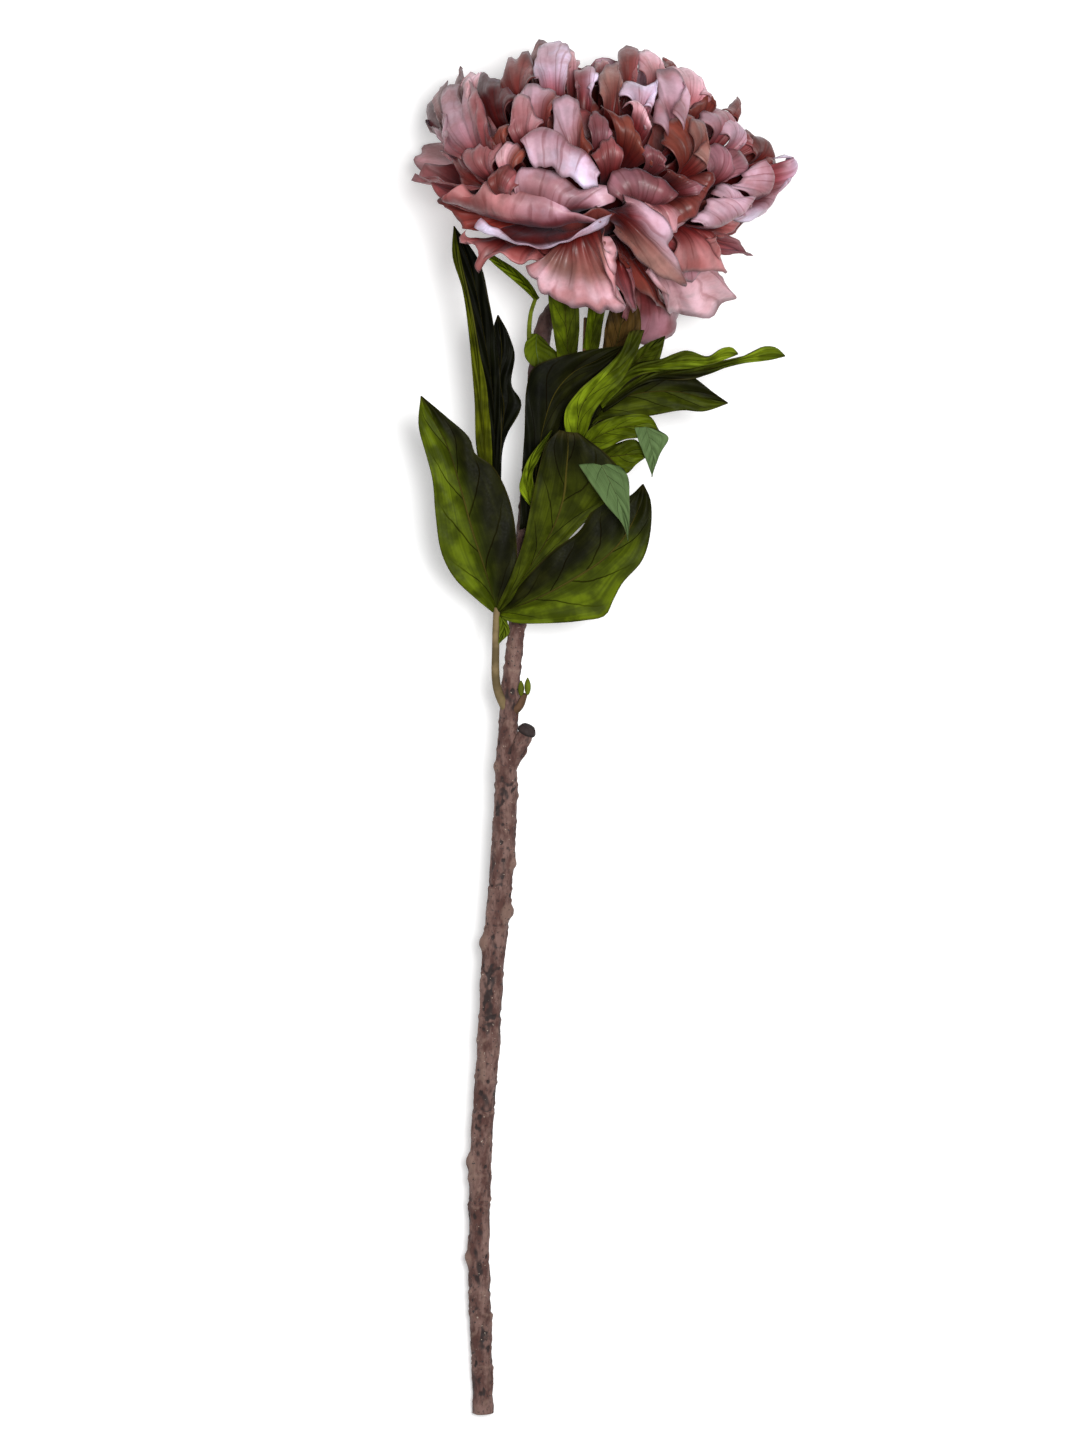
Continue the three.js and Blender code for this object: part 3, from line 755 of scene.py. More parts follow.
# %% Tones on a petal
SHADE_MIDDLE = np.array((-1.0, 270.0, 76.0))
SHADE_HALF = np.array((92.0, 73.0, 78.0))
DRAWN_DEEP, RING_DEEP = 0.68, 0.36


def painted_heart_shade(tones, places, deep):
    """Paints shade: turns tones to the heart's red inside the bloom, from deep, a share of its half
    width. The red is partly the petals' own deeper colour there.
    """
    off = np.linalg.norm((places - SHADE_MIDDLE) / SHADE_HALF, axis=1)
    out = eased((off - deep) / 0.28)[:, None]
    return np.array(TONES["heart"]) * (1 - out) + tones * out


def petal_tones(tone, beside, lip=None, deep=DRAWN_DEEP):
    """Gives a function that colours a petal: tone at its left, beside at its right, and lip
    along its rim. The change from left to right is partly the petal's own colour and partly
    painted light and shade, on a side that faces the light or turns away."""
    def paint(s, u, places):
        side = eased((s + 0.2) / 0.6)[:, None]
        own = np.array(TONES[tone]) * (1 - side) + np.array(TONES[beside]) * side
        own = painted_heart_shade(own, places, deep)
        edge = eased((u - 0.8) / 0.12)[:, None]
        return own * (1 - edge) + np.array(TONES[lip]) * edge if lip else own
    return paint


# %% Making petals from a table
COLUMN_WIDTH, RING_COLUMN_WIDTH = 1.6, 2.2
PETAL_ROWS = 24
PETAL_THICKNESS = 0.5


def end_petals(name, bm):
    return end_piece(bm, "petals_" + name, PETAL_FINISHES, ["bloom"], PETAL_THICKNESS)


def make_petals(name, rows):
    """One piece from rows of tone, rim, its depth, waist, its depth, and what is special."""
    bm = start_piece()
    for tone, rim, rim_depth, waist, waist_depth, *special in rows:
        special = dict(*special)
        beside, lip = special.pop("beside", tone), special.pop("lip", None)
        length = sum(math.dist(a, b) for a, b in zip(rim, rim[1:])) * PIXEL
        shape = drawn_petal(rim, rim_depth, waist, waist_depth, **special)
        columns = max(12, round(length / COLUMN_WIDTH))
        add_blade(bm, shape, columns, PETAL_ROWS, petal_tones(tone, beside, lip))
    end_petals(name, bm)


print("a petal's grid has", PETAL_ROWS, "rows, and a column every", COLUMN_WIDTH, "mm")

# %% [markdown]
# ## The petals that can be told apart: the bowls at the left
# About seventy petals show in the photograph, and each was read off it as a few places.
# They are listed region by region. A row holds a tone, the rim and how deep it lies, the
# waist and how deep that lies, and what is special about the petal: a tone that it turns to
# at its right end, a pale lip, pleats, or another curl, crease or ruffle. The first region
# has two broad petals that lie one in the other like bowls, and what fills them.

# %% The bowls at the left
LEFT_BOWLS = [
    ("rose", [(470, 186), (440, 181), (417, 177), (436, 193), (455, 206)], 8,
     [(525, 196), (505, 214)], 30),
    ("brown", [(452, 194), (438, 198), (441, 205), (455, 214), (462, 228), (476, 230), (492, 234)], 16,
     [(520, 205), (525, 222)], 36),
    ("coral", [(456, 194), (460, 182), (470, 187), (484, 178), (502, 189), (520, 188), (545, 192),
      (572, 205), (602, 220)], 2,
     [(459, 204), (495, 219), (540, 226), (598, 222)], 12, {"crease": 2.2, "beside": "silver", "pleats": 3}),
    ("maroon", [(474, 226), (490, 238), (515, 247), (545, 251), (572, 248), (592, 238), (615, 219)], 0,
     [(500, 224), (540, 232), (590, 226)], 30, {"lip": "lilac", "curl": 3}),
    ("coral", [(466, 230), (463, 240), (476, 248), (478, 262), (484, 269), (492, 258), (503, 254),
      (512, 262), (520, 265), (532, 260), (545, 265), (557, 271), (563, 261), (578, 259), (593, 252)], 14,
     [(490, 238), (535, 240), (580, 238)], 34, {"ruffle": 0.6}),
]
make_petals("left_bowls", LEFT_BOWLS)

# %% [markdown]
# ## The skirt
# The oldest petals hang down in front, over the leaves. They are long, pale and pleated.
# Petals further back come first in the table, but the depths alone decide what covers what.

# %% The skirt
SKIRT = [
    ("mauve", [(620, 315), (632, 330), (643, 340), (658, 338), (668, 336), (673, 322), (682, 312)], 16,
     [(622, 275), (640, 278), (655, 270)], 44),
    ("mauve", [(618, 285), (626, 304), (633, 311), (637, 309), (634, 290), (626, 268)], 12,
     [(610, 250), (622, 258)], 30),
    ("taupe", [(531, 260), (535, 274), (541, 284), (552, 290), (563, 295), (571, 302), (579, 306),
      (590, 307), (603, 311), (613, 311), (624, 306), (620, 288), (613, 262), (606, 240)], 4,
     [(562, 242), (586, 233), (603, 226)], 18, {"pleats": 11, "lip": "pale"}),
    ("rust", [(622, 258), (633, 284), (648, 294), (656, 304), (669, 312), (664, 296)], 16,
     [(612, 238), (624, 244), (632, 250)], 26),
    ("pale", [(648, 268), (662, 294), (668, 311), (682, 314), (698, 319), (711, 317), (716, 302),
      (733, 295), (726, 280), (718, 268), (706, 258)], 6,
     [(628, 242), (648, 240), (668, 236)], 20, {"crease": 1.4}),
    ("mauve", [(674, 260), (683, 279), (691, 281), (700, 268)], 10,
     [(660, 246), (676, 244)], 24),
    ("coral", [(672, 252), (681, 268), (697, 270), (715, 267), (724, 271), (717, 256), (706, 242)], 4,
     [(664, 232), (682, 227), (700, 228)], 20, {"crease": 1.6}),
    ("taupe", [(614, 230), (638, 257), (660, 274), (683, 281), (676, 261), (668, 245), (671, 233),
      (658, 216), (642, 203), (622, 199)], -2,
     [(612, 222), (626, 218), (622, 206)], 6, {"beside": "silver", "crease": 1.2}),
    ("mauve", [(703, 247), (713, 253), (728, 255), (751, 253), (742, 246), (734, 237), (712, 231)], 20,
     [(672, 240), (676, 228)], 36),
    ("coral", [(706, 231), (722, 232), (733, 230), (739, 223), (734, 219), (720, 221)], 22,
     [(685, 228), (695, 220)], 36),
]
make_petals("skirt", SKIRT)

# %% [markdown]
# ## The right edge
# At the right the petals are seen almost edge on, so their outlines are narrow hooks.
# Darker ones lie deeper and close the gaps between the pale ones; their dark tones are partly painted shade.

# %% The right edge
RIGHT_EDGE = [
    ("maroon", [(748, 170), (762, 160), (778, 157), (777, 166), (771, 185), (760, 196)], 34,
     [(730, 190), (738, 192)], 44),
    ("lilac", [(731, 217), (746, 216), (758, 210), (768, 196), (777, 178), (783, 161), (774, 161)], 12,
     [(722, 212), (748, 200), (767, 185), (770, 165)], 16),
    ("brown", [(732, 132), (748, 128), (757, 140), (759, 156), (752, 172)], 40,
     [(722, 160), (732, 168)], 48),
    ("rose", [(756, 180), (758, 172), (762, 168), (763, 174), (760, 182)], 20,
     [(735, 190), (740, 192)], 34),
    ("silver", [(724, 185), (740, 180), (746, 167)], 6,
     [(735, 202), (755, 199), (759, 178), (748, 164)], 14),
    ("brown", [(744, 150), (751, 138), (760, 132), (769, 138), (773, 151), (766, 162), (755, 167)], 26,
     [(735, 170), (742, 176)], 42),
    ("silver", [(711, 194), (714, 186), (724, 183), (733, 188), (738, 199)], 6,
     [(708, 208), (732, 212)], 14),
    ("silver", [(690, 220), (702, 210), (713, 197), (724, 199), (736, 198)], 0,
     [(692, 226), (712, 228), (730, 215), (738, 198)], 12),
]
make_petals("right_edge", RIGHT_EDGE)

# %% [markdown]
# ## The left shoulder
# On the left half of the dome the petals stand up and lean outwards, from maroon ones at
# the back, whose maroon is partly painted shade, to the lilac one in the middle, painted
# pale as a painted highlight where it catches most of the light. Depths shrink towards the
# middle, so that each petal overlaps the one behind it like a roof tile.

# %% The left shoulder
LEFT_SHOULDER = [
    ("maroon", [(444, 130), (430, 127), (423, 118), (427, 107), (440, 101)], 36,
     [(475, 165), (480, 150)], 46),
    ("brown", [(440, 112), (434, 97), (437, 84), (446, 79)], 26,
     [(468, 155), (476, 150)], 34),
    ("mauve", [(500, 192), (478, 180), (458, 165), (446, 149), (432, 128), (446, 128)], 22,
     [(510, 190), (480, 160)], 30),
    ("maroon", [(458, 187), (452, 172), (449, 157), (460, 157), (478, 170)], 28,
     [(495, 195), (500, 188)], 36),
    ("brown", [(455, 82), (457, 71), (463, 63), (465, 72), (468, 82)], 30,
     [(480, 125), (486, 125)], 38, {"ruffle": 0.3}),
    ("pale", [(461, 80), (467, 72), (477, 70), (486, 78)], 24,
     [(480, 125), (492, 125)], 34),
    ("maroon", [(474, 98), (476, 85), (484, 73), (492, 78), (503, 79), (512, 87), (517, 102)], 14,
     [(494, 132), (514, 132)], 26),
    ("brown", [(460, 84), (465, 76), (471, 79), (473, 90)], 16,
     [(482, 130), (488, 130)], 28, {"beside": "pale"}),
    ("silver", [(446, 140), (438, 108), (438, 90), (446, 80), (459, 78), (470, 83), (479, 97), (488, 114),
      (495, 134)], 2,
     [(472, 166), (502, 160)], 14, {"pleats": 7, "beside": "rose", "crease": 0.6}),
    ("brown", [(500, 82), (503, 68), (510, 57), (518, 59), (526, 54), (534, 62), (539, 80)], 18,
     [(518, 112), (534, 112)], 28, {"ruffle": 1.6}),
    ("brown", [(529, 74), (531, 52), (539, 41), (550, 42)], 32,
     [(540, 105), (548, 105)], 46),
    ("pale", [(568, 66), (571, 47), (576, 48), (580, 64)], 26,
     [(570, 105), (576, 105)], 34),
    ("lilac", [(538, 78), (535, 57), (542, 43), (554, 38), (566, 43), (572, 55), (571, 76)], 18,
     [(546, 108), (566, 108)], 28),
    ("mauve", [(576, 88), (572, 70), (578, 62), (588, 60), (597, 67), (598, 78), (590, 90)], 14,
     [(580, 116), (590, 116)], 24, {"beside": "lilac"}),
    ("silver", [(518, 100), (528, 87), (542, 84), (554, 88), (560, 97), (554, 110)], 10,
     [(534, 142), (550, 142)], 20, {"beside": "brown"}),
    ("pink", [(512, 124), (514, 104), (520, 95), (528, 95), (535, 104), (544, 122)], 4,
     [(520, 150), (540, 150)], 14, {"crease": 1.4}),
    ("silver", [(552, 134), (550, 116), (556, 99), (566, 94), (577, 99), (583, 113), (585, 134),
      (591, 150)], 4,
     [(566, 164), (588, 168)], 16, {"beside": "rust", "crease": 0.6}),
    ("rust", [(494, 138), (500, 127), (507, 122), (512, 132)], 10,
     [(505, 158), (516, 158)], 18, {"crease": 2}),
    ("pink", [(462, 149), (474, 147), (484, 138), (493, 133), (501, 141), (503, 156)], 8,
     [(490, 182), (506, 180)], 18),
    ("pale", [(500, 154), (503, 144), (510, 139), (518, 142), (524, 151), (523, 162)], 4,
     [(511, 180), (522, 180)], 14, {"beside": "rust"}),
    ("brown", [(494, 176), (500, 166), (507, 163), (515, 171), (521, 184)], 2,
     [(506, 200), (520, 200)], 12, {"beside": "rose"}),
    ("silver", [(517, 182), (521, 167), (534, 166), (558, 172), (580, 186), (600, 185), (617, 191),
      (616, 202), (600, 207)], 3,
     [(526, 204), (555, 212), (580, 210), (592, 208)], 14, {"ruffle": 0.5}),
    ("lilac", [(528, 154), (534, 165), (545, 168), (556, 167), (564, 176), (575, 180), (586, 184),
      (598, 182)], -4,
     [(527, 144), (541, 131), (556, 132), (570, 145), (586, 154), (597, 178)], 3,
     {"ruffle": 0.5, "crease": 1.4}),
]
make_petals("left_shoulder", LEFT_SHOULDER)

# %% [markdown]
# ## The right shoulder
# The right half is built in the same way. Its petals are smaller and more folded, and
# rusty brown ones fill the hollow between the two halves; their brown is partly painted shade.

# %% The right shoulder
RIGHT_SHOULDER = [
    ("rose", [(592, 72), (596, 60), (603, 56), (608, 66)], 24,
     [(598, 100), (606, 100)], 32),
    ("brown", [(613, 72), (618, 52), (627, 46), (635, 50), (638, 62), (631, 82)], 20,
     [(618, 110), (630, 110)], 30, {"beside": "rose"}),
    ("taupe", [(596, 92), (599, 75), (608, 64), (619, 60), (622, 74), (618, 92)], 10,
     [(604, 122), (618, 122)], 20),
    ("pale", [(636, 68), (639, 55), (647, 50), (656, 53), (662, 62), (657, 72)], 20,
     [(644, 108), (656, 108)], 32),
    ("brown", [(660, 68), (664, 56), (669, 66)], 24,
     [(662, 100), (668, 100)], 32, {"ruffle": 0.2}),
    ("pale", [(666, 68), (676, 62), (690, 66), (700, 74), (706, 86), (703, 98)], 14,
     [(676, 118), (692, 120)], 26),
    ("rust", [(676, 109), (686, 104), (698, 100), (706, 85), (711, 93), (708, 104)], 14,
     [(680, 130), (698, 128)], 24),
    ("silver", [(652, 120), (657, 96), (660, 68), (672, 67), (684, 76), (687, 88), (680, 104), (673, 118)],
      8,
     [(662, 152), (672, 150)], 20, {"crease": 0.6}),
    ("lilac", [(620, 99), (625, 84), (640, 82), (661, 78), (655, 92), (644, 108)], 6,
     [(630, 122), (644, 126)], 18),
    ("pale", [(623, 109), (629, 101), (638, 104), (644, 116), (649, 129)], 0,
     [(630, 124), (642, 142)], 9, {"ruffle": 0.4}),
    ("brown", [(721, 110), (730, 106), (738, 96), (731, 110), (727, 117)], 30,
     [(712, 135), (718, 138)], 38, {"ruffle": 0.2, "curl": 0}),
    ("rose", [(738, 129), (744, 126), (750, 136), (744, 149)], 24,
     [(722, 158), (728, 162)], 34),
    ("silver", [(698, 120), (702, 109), (712, 104), (722, 106), (727, 114), (722, 128)], 10,
     [(702, 150), (716, 150)], 20, {"crease": 2}),
    ("lilac", [(718, 132), (722, 121), (733, 118), (741, 126), (742, 136), (735, 144)], 8,
     [(712, 156), (722, 160)], 20),
    ("mauve", [(722, 152), (733, 145), (744, 150), (749, 161), (746, 171), (737, 179), (722, 184)], 10,
     [(700, 172), (706, 182)], 22),
    ("mauve", [(697, 162), (704, 147), (717, 141), (727, 147), (732, 160)], 4,
     [(694, 184), (712, 186)], 16),
    ("rust", [(662, 142), (668, 122), (681, 112), (694, 113), (700, 124)], 6,
     [(672, 180), (690, 180)], 20, {"crease": 1.4}),
    ("taupe", [(688, 130), (693, 118), (703, 117), (709, 127), (707, 141), (700, 152), (695, 159)], 0,
     [(682, 168), (690, 178)], 12, {"crease": 1.4}),
    ("mauve", [(587, 122), (592, 108), (602, 114), (611, 127), (614, 140)], 4,
     [(592, 158), (608, 158)], 16, {"crease": 2}),
    ("rose", [(590, 154), (600, 141), (612, 136), (624, 146)], 0,
     [(600, 178), (616, 176)], 12, {"crease": 2}),
    ("rust", [(602, 104), (616, 112), (630, 117), (638, 132), (646, 150), (656, 164)], -2,
     [(616, 150), (636, 168)], 10, {"crease": 1.2}),
    ("mauve", [(640, 152), (648, 143), (658, 146), (663, 156), (660, 166)], -2,
     [(640, 174), (654, 178)], 8),
    ("brown", [(664, 168), (681, 172), (698, 178), (709, 186), (700, 195)], 0,
     [(656, 182), (676, 198)], 8, {"beside": "mauve"}),
    ("mauve", [(606, 192), (612, 172), (626, 165), (646, 168), (664, 178), (680, 192)], 2,
     [(622, 206), (652, 208)], 12),
    ("brown", [(668, 230), (684, 221), (698, 212), (708, 200), (713, 188), (713, 174)], 2,
     [(650, 202), (668, 196), (682, 178)], 18, {"curl": -1}),
    ("pink", [(642, 203), (654, 216), (669, 230), (684, 221)], 4,
     [(636, 204), (656, 202)], 12),
]
make_petals("right_shoulder", RIGHT_SHOULDER)

# %% [markdown]
# ## The back, the underside and the heart
# The camera can't see the rest of the bloom, but a flower is seen from all sides. These
# petals stand in rings round the flower's axis: one shape, turned by the same step again
# and again. Each one bows out and hooks in on its way to its tip, and those that would go
# through the surface are pressed flat on it.

# %% Ring petal shape
PETAL_ROOT = 5.0
PRESSED = 0.4
CUPPED = 1.35
HOOKED = 10
RIM_CURL = 1.5


def ring_petal(turn, polar, reach, width, bow, hook, cup, roll, ruffle):
    """The shape of one petal. turn and polar say where its tip is, and reach how far out. bow
    and hook bend it outwards and in again, cup hollows it, and roll twists it, in degrees."""
    phase = 0.05 * turn
    chance = random.Random(round(7 * turn + 131 * polar + 17 * width))
    furrows = [(chance.uniform(-0.8, 0.8), chance.uniform(0.08, 0.16), chance.uniform(0.4, 1.4))
               for _ in range(3 if width < 45 else 4)]
    psi = math.radians(turn)
    outwards = np.array((math.sin(psi), -math.cos(psi), 0.0))
    around = np.array((math.cos(psi), math.sin(psi), 0.0))

    def heading(angle):
        return np.array((0, 0, math.cos(math.radians(angle)))) + outwards * math.sin(math.radians(angle))

    a = outwards * PETAL_ROOT
    d = heading(polar) * reach
    b = a + heading(polar + bow) * reach * 0.42
    c = d - heading(polar - bow - hook - HOOKED) * reach * 0.36
    bend = width / 2 / math.radians(CUPPED * cup)
    dome = min(0.42, 0.55 * width / reach)

    def shape(s, u):
        v = np.sin(s * math.pi / 2)
        edge = np.abs(v)
        ragged = 0.016 * np.sin(5 * v + 3 * phase) + 0.012 * np.sin(11 * v + 7 * phase)
        furrow = sum(deep * np.exp(-(((v - at) / wide) ** 2)) for at, wide, deep in furrows)
        ragged -= 0.012 * furrow
        droop = dome * (1 - np.sqrt(1 - 0.97 * edge**2))
        t = np.clip(u * (1 - droop + ragged * u), 0, 1)[:, None]
        spine = (1 - t) ** 3 * a + 3 * t * (1 - t) ** 2 * b + 3 * t**2 * (1 - t) * c + t**3 * d
        ahead = (1 - t) ** 2 * (b - a) + 2 * t * (1 - t) * (c - b) + t**2 * (d - c)
        ahead /= np.linalg.norm(ahead, axis=1)[:, None]
        up = np.cross(ahead, around)
        up /= np.linalg.norm(up, axis=1)[:, None]
        side = np.cross(up, ahead)
        rho = math.radians(roll) * eased(t / 0.8)
        side, up = side * np.cos(rho) + up * np.sin(rho), up * np.cos(rho) - side * np.sin(rho)
        t = t[:, 0]
        half = width / 2 * (0.14 + 0.86 * np.sin(np.clip(t / 0.92, 0, 1) * math.pi * 0.56) ** 1.15)
        tip_wave = 0.6 * np.sin(4.3 * v + 5 * phase) + 0.4 * np.sin(9.1 * v + 11 * phase)
        lift = ruffle * (u**3 * tip_wave + 0.5 * u * edge**4 * np.sin(9 * u + 3 * phase))
        lift += furrow * eased((u - 0.1) / 0.6)
        lift += 0.12 * u * np.sin(37 * v + 9 * phase - 3 * u)
        curled = eased((u - 0.78) / 0.22) ** 2 * (0.7 + 0.6 * np.sin(3 * v + 2 * phase))
        lift -= RIM_CURL * (curled + 0.7 * eased((edge - 0.75) / 0.25) * u)
        lift += bend * (1 - np.cos(v * half / bend))
        places = spine + side * (bend * np.sin(v * half / bend))[:, None] + up * lift[:, None]
        below = PRESSED - (places @ SURFACE_UP + HEART[2])
        places += np.clip(below, 0, None)[:, None] * SURFACE_UP
        return places @ TURNED.T + HEART
    return shape


# %% The rings of petals
# Each row: tone, how many, first turn and step, then the other values of ring_petal.
PETAL_RINGS = {
    "underside": [
        ("pink", 5, 130, 25, (90, 112, 56, 4, -14, 8, 0, 1)),
        ("rose", 7, 90, 30, (80, 86, 52, 16, 0, 25, 8, 4)),
        ("mauve", 7, 104, 26, (64, 84, 50, 22, 5, 30, -10, 4)),
        ("pink", 7, 92, 30, (48, 82, 48, 26, 8, 32, 10, 3)),
        ("silver", 5, 112, 34, (32, 80, 46, 30, 10, 35, 8, 3)),
    ],
    "crown": [
        ("mauve", 4, 125, 36, (38, 76, 48, 30, 15, 35, 12, 3)),
        ("rose", 5, 130, 72, (20, 66, 46, 38, 35, 35, 12, 2)),
        ("brown", 3, 190, 120, (5, 64, 40, 40, 40, 40, 15, 2)),
    ],
    "heart": [
        ("maroon", 8, 300, 22, (90, 56, 40, 10, 0, 20, 8, 3)),
        ("brown", 10, 0, 36, (66, 68, 46, 30, 10, 35, 10, 3)),
        ("maroon", 9, 20, 40, (48, 70, 46, 34, 10, 38, -10, 3)),
        ("brown", 7, 10, 52, (30, 68, 44, 38, 15, 40, 15, 3)),
        ("maroon", 5, 30, 72, (12, 66, 40, 40, 20, 40, -15, 3)),
    ],
}
for name, rings in PETAL_RINGS.items():
    bm = start_piece()
    for tone, count, first, step, bends in rings:
        columns = round(bends[2] / RING_COLUMN_WIDTH)
        for k in range(count):
            shape = ring_petal(first + k * step, *bends)
            add_blade(bm, shape, columns, PETAL_ROWS, petal_tones(tone, tone, deep=RING_DEEP))
    end_petals(name, bm)

# %% [markdown]
# ## The calyx
# Under the petals a green cup joins them to the stem, with five sepals round it. The cup is
# a profile spun round the flower's axis, and a sepal is a short blade along a rib that
# bends down. A sepal could be drawn like a petal, but nothing of it shows in the
# photograph, so one plain shape is repeated five times.

# %% The calyx cup
CUP_PROFILE = [(0, -15.7), (4.6, -15.7), (6.4, -13.8), (7.9, -11.4), (9.2, -9.0), (9.4, -7.7), (0, -7.5)]


def make_calyx():
    bm = start_piece()
    corners = [bm.verts.new((x, 0.0, z)) for x, z in CUP_PROFILE]
    edges = [bm.edges.new(pair) for pair in zip(corners, corners[1:])]
    bmesh.ops.spin(bm, geom=corners + edges, axis=(0, 0, 1), cent=(0, 0, 0), angle=math.tau,
                   steps=28, use_merge=True)
    bmesh.ops.remove_doubles(bm, verts=bm.verts[:], dist=0.001)
    bmesh.ops.recalc_face_normals(bm, faces=bm.faces[:])
    layer = bm.verts.layers.float_color["tone"]
    for v in bm.verts:
        v.co = in_flower(v.co) * MM
        v[layer] = GREENS["calyx"]
    return end_piece(bm, "calyx_cup", [LEAF_ABOVE], ["calyx"])


make_calyx()

# %% The sepals
SEPAL_COUNT, SEPAL_WIDTH, SEPAL_THICKNESS = 5, 17, 0.8
SEPAL_FOLD = math.radians(6)
SEPAL_RIB = [(5, -10), (16, -13), (27, -19)]


def sepal_shape(rib, over):
    """The shape of one sepal along its rib; over points across it."""
    def shape(s, t):
        place, ahead, _ = walk(rib, t)
        side = over - (over * ahead).sum(axis=1)[:, None] * ahead
        side /= np.linalg.norm(side, axis=1)[:, None]
        up = np.cross(side, ahead)
        bulge = np.sin(math.pi * np.clip(t, 0, 1))
        half = np.maximum(0.25, SEPAL_WIDTH / 2 * np.clip(bulge, 0, 1) ** 0.85)
        lift = math.sin(SEPAL_FOLD) * half * (np.sqrt(s**2 + 0.01) - 0.1)
        lift += 0.5 * s * np.sin(9 * t) * np.sin(math.pi * t)
        lift += 0.02 * SEPAL_WIDTH * np.abs(s) ** 3 * np.sin(31 * t + 5 * s) * bulge
        return place + side * (math.cos(SEPAL_FOLD) * half * s)[:, None] + up * lift[:, None]
    return shape


def make_sepals():
    bm = start_piece()
    for k in range(SEPAL_COUNT):
        turn = math.radians(36 + 360 / SEPAL_COUNT * k)
        out = np.array((math.sin(turn), -math.cos(turn), 0))
        over = TURNED @ (math.cos(turn), math.sin(turn), 0)
        rib = [in_flower(out * r + (0, 0, h)) for r, h in SEPAL_RIB]
        add_blade(bm, sepal_shape(rib, over), 10, 16, plain(GREENS["calyx"]))
    return end_piece(bm, "sepals", LEAF_FINISHES, ["calyx"], SEPAL_THICKNESS)


make_sepals()

# %% [markdown]
# ## The leaves
# A peony leaf has a long stalk and several leaflets. A leaflet is drawn as three lines from
# its base to its tip: its left edge, its rib and its right edge, in the photograph's
# pixels. The rib's points hold a height over the surface too, in millimetres. Between rib
# and edge the blade arches a little, and its edges are raised and wavy.


# %% Drawn leaflet shape
ARCH = 0.08  # how high the blade arches, as a share of its half width
LEAST_HALF = 0.25  # added at both sides, so that the blade has a width where its edges meet


def drawn_leaf(left, rib, right, raised=2.0, wave=1.0):
    """The shape of one leaflet from its three lines; raised is how far its edges stand up."""
    heights = [point[2] for point in rib]
    phase = 0.37 * rib[-1][0]

    def edge_line(points):
        share = np.linspace(0, 1, len(points))
        level = np.interp(share, np.linspace(0, 1, len(rib)), heights)
        level += raised * np.sin(math.pi * share)
        return [in_picture(x, y, h) for (x, y), h in zip(points, level)]

    lines = edge_line(left), [in_picture(*point) for point in rib], edge_line(right)

    def shape(s, t):
        middle, ahead, _ = walk(lines[1], t)
        edge = np.where(s[:, None] < 0, walk(lines[0], t)[0], walk(lines[2], t)[0])
        away = np.abs(s)
        places = middle + (edge - middle) * away[:, None]
        side = np.cross(ahead, (0.0, 0.0, 1.0))
        places += side / np.linalg.norm(side, axis=1)[:, None] * (LEAST_HALF * s)[:, None]
        lift = ARCH * np.linalg.norm(edge - middle, axis=1) * np.sin(math.pi * away)
        waves = np.sin(11 * t + phase + s) + 0.5 * np.sin(25 * t + 2 * phase)
        lift += wave * away**2 * waves * np.sin(math.pi * t)
        for k, place in enumerate(places):
            lift[k] += 1.2 * t[k] * (1 - t[k]) * noise.noise(Vector(place / 9))
        places[:, 2] += lift
        return places
    return shape


# %% Making a leaf from its tables
LEAF_ROWS, LEAF_THICKNESS = 44, 0.7
STALK_SIDES, STALK_RINGS = 14, 24


def leaf_tones(left, right, tip=None):
    """Gives a function that colours a leaflet by side, and differently towards its tip. A light
    and a dark side are partly the leaf's own colours and partly painted light and shade on
    halves that face the light or turn away.
    """
    def paint(s, t, places):
        side = eased(s + 0.5)[:, None]
        own = np.array(GREENS[left]) * (1 - side) + np.array(GREENS[right]) * side
        end = eased((t - 0.55) / 0.35)[:, None]
        return own * (1 - end) + np.array(GREENS[tip]) * end if tip else own
    return paint


def make_leaf(name, stalks, blades):
    """Two pieces: blades from rows of tones, left edge, rib, right edge and what is special,
    and stalks from rows of stations and a tone."""
    bm = start_piece()
    for tones, left, rib, right, *special in blades:
        columns = max(12, round(max(math.dist(a, b[:2]) for a, b in zip(left, rib)) * PIXEL))
        add_blade(bm, drawn_leaf(left, rib, right, **dict(*special)), columns, LEAF_ROWS, leaf_tones(*tones))
    end_piece(bm, name + "_blades", LEAF_FINISHES, [name], LEAF_THICKNESS)
    bm = start_piece()
    for stations, tone in stalks:
        add_limb(bm, stations, STALK_SIDES, STALK_RINGS, GREENS[tone])
    end_piece(bm, name + "_stalk", [LEAF_ABOVE], [name])


print("a leaflet's grid has", LEAF_ROWS, "rows")

# %% [markdown]
# ## The forked leaf
# The lowest leaf forks from the stem beside the side shoot. Its middle leaflet folds its
# tip forward, so the tip is a blade of its own whose lines run down the picture: such a
# blade shows its pale underside.

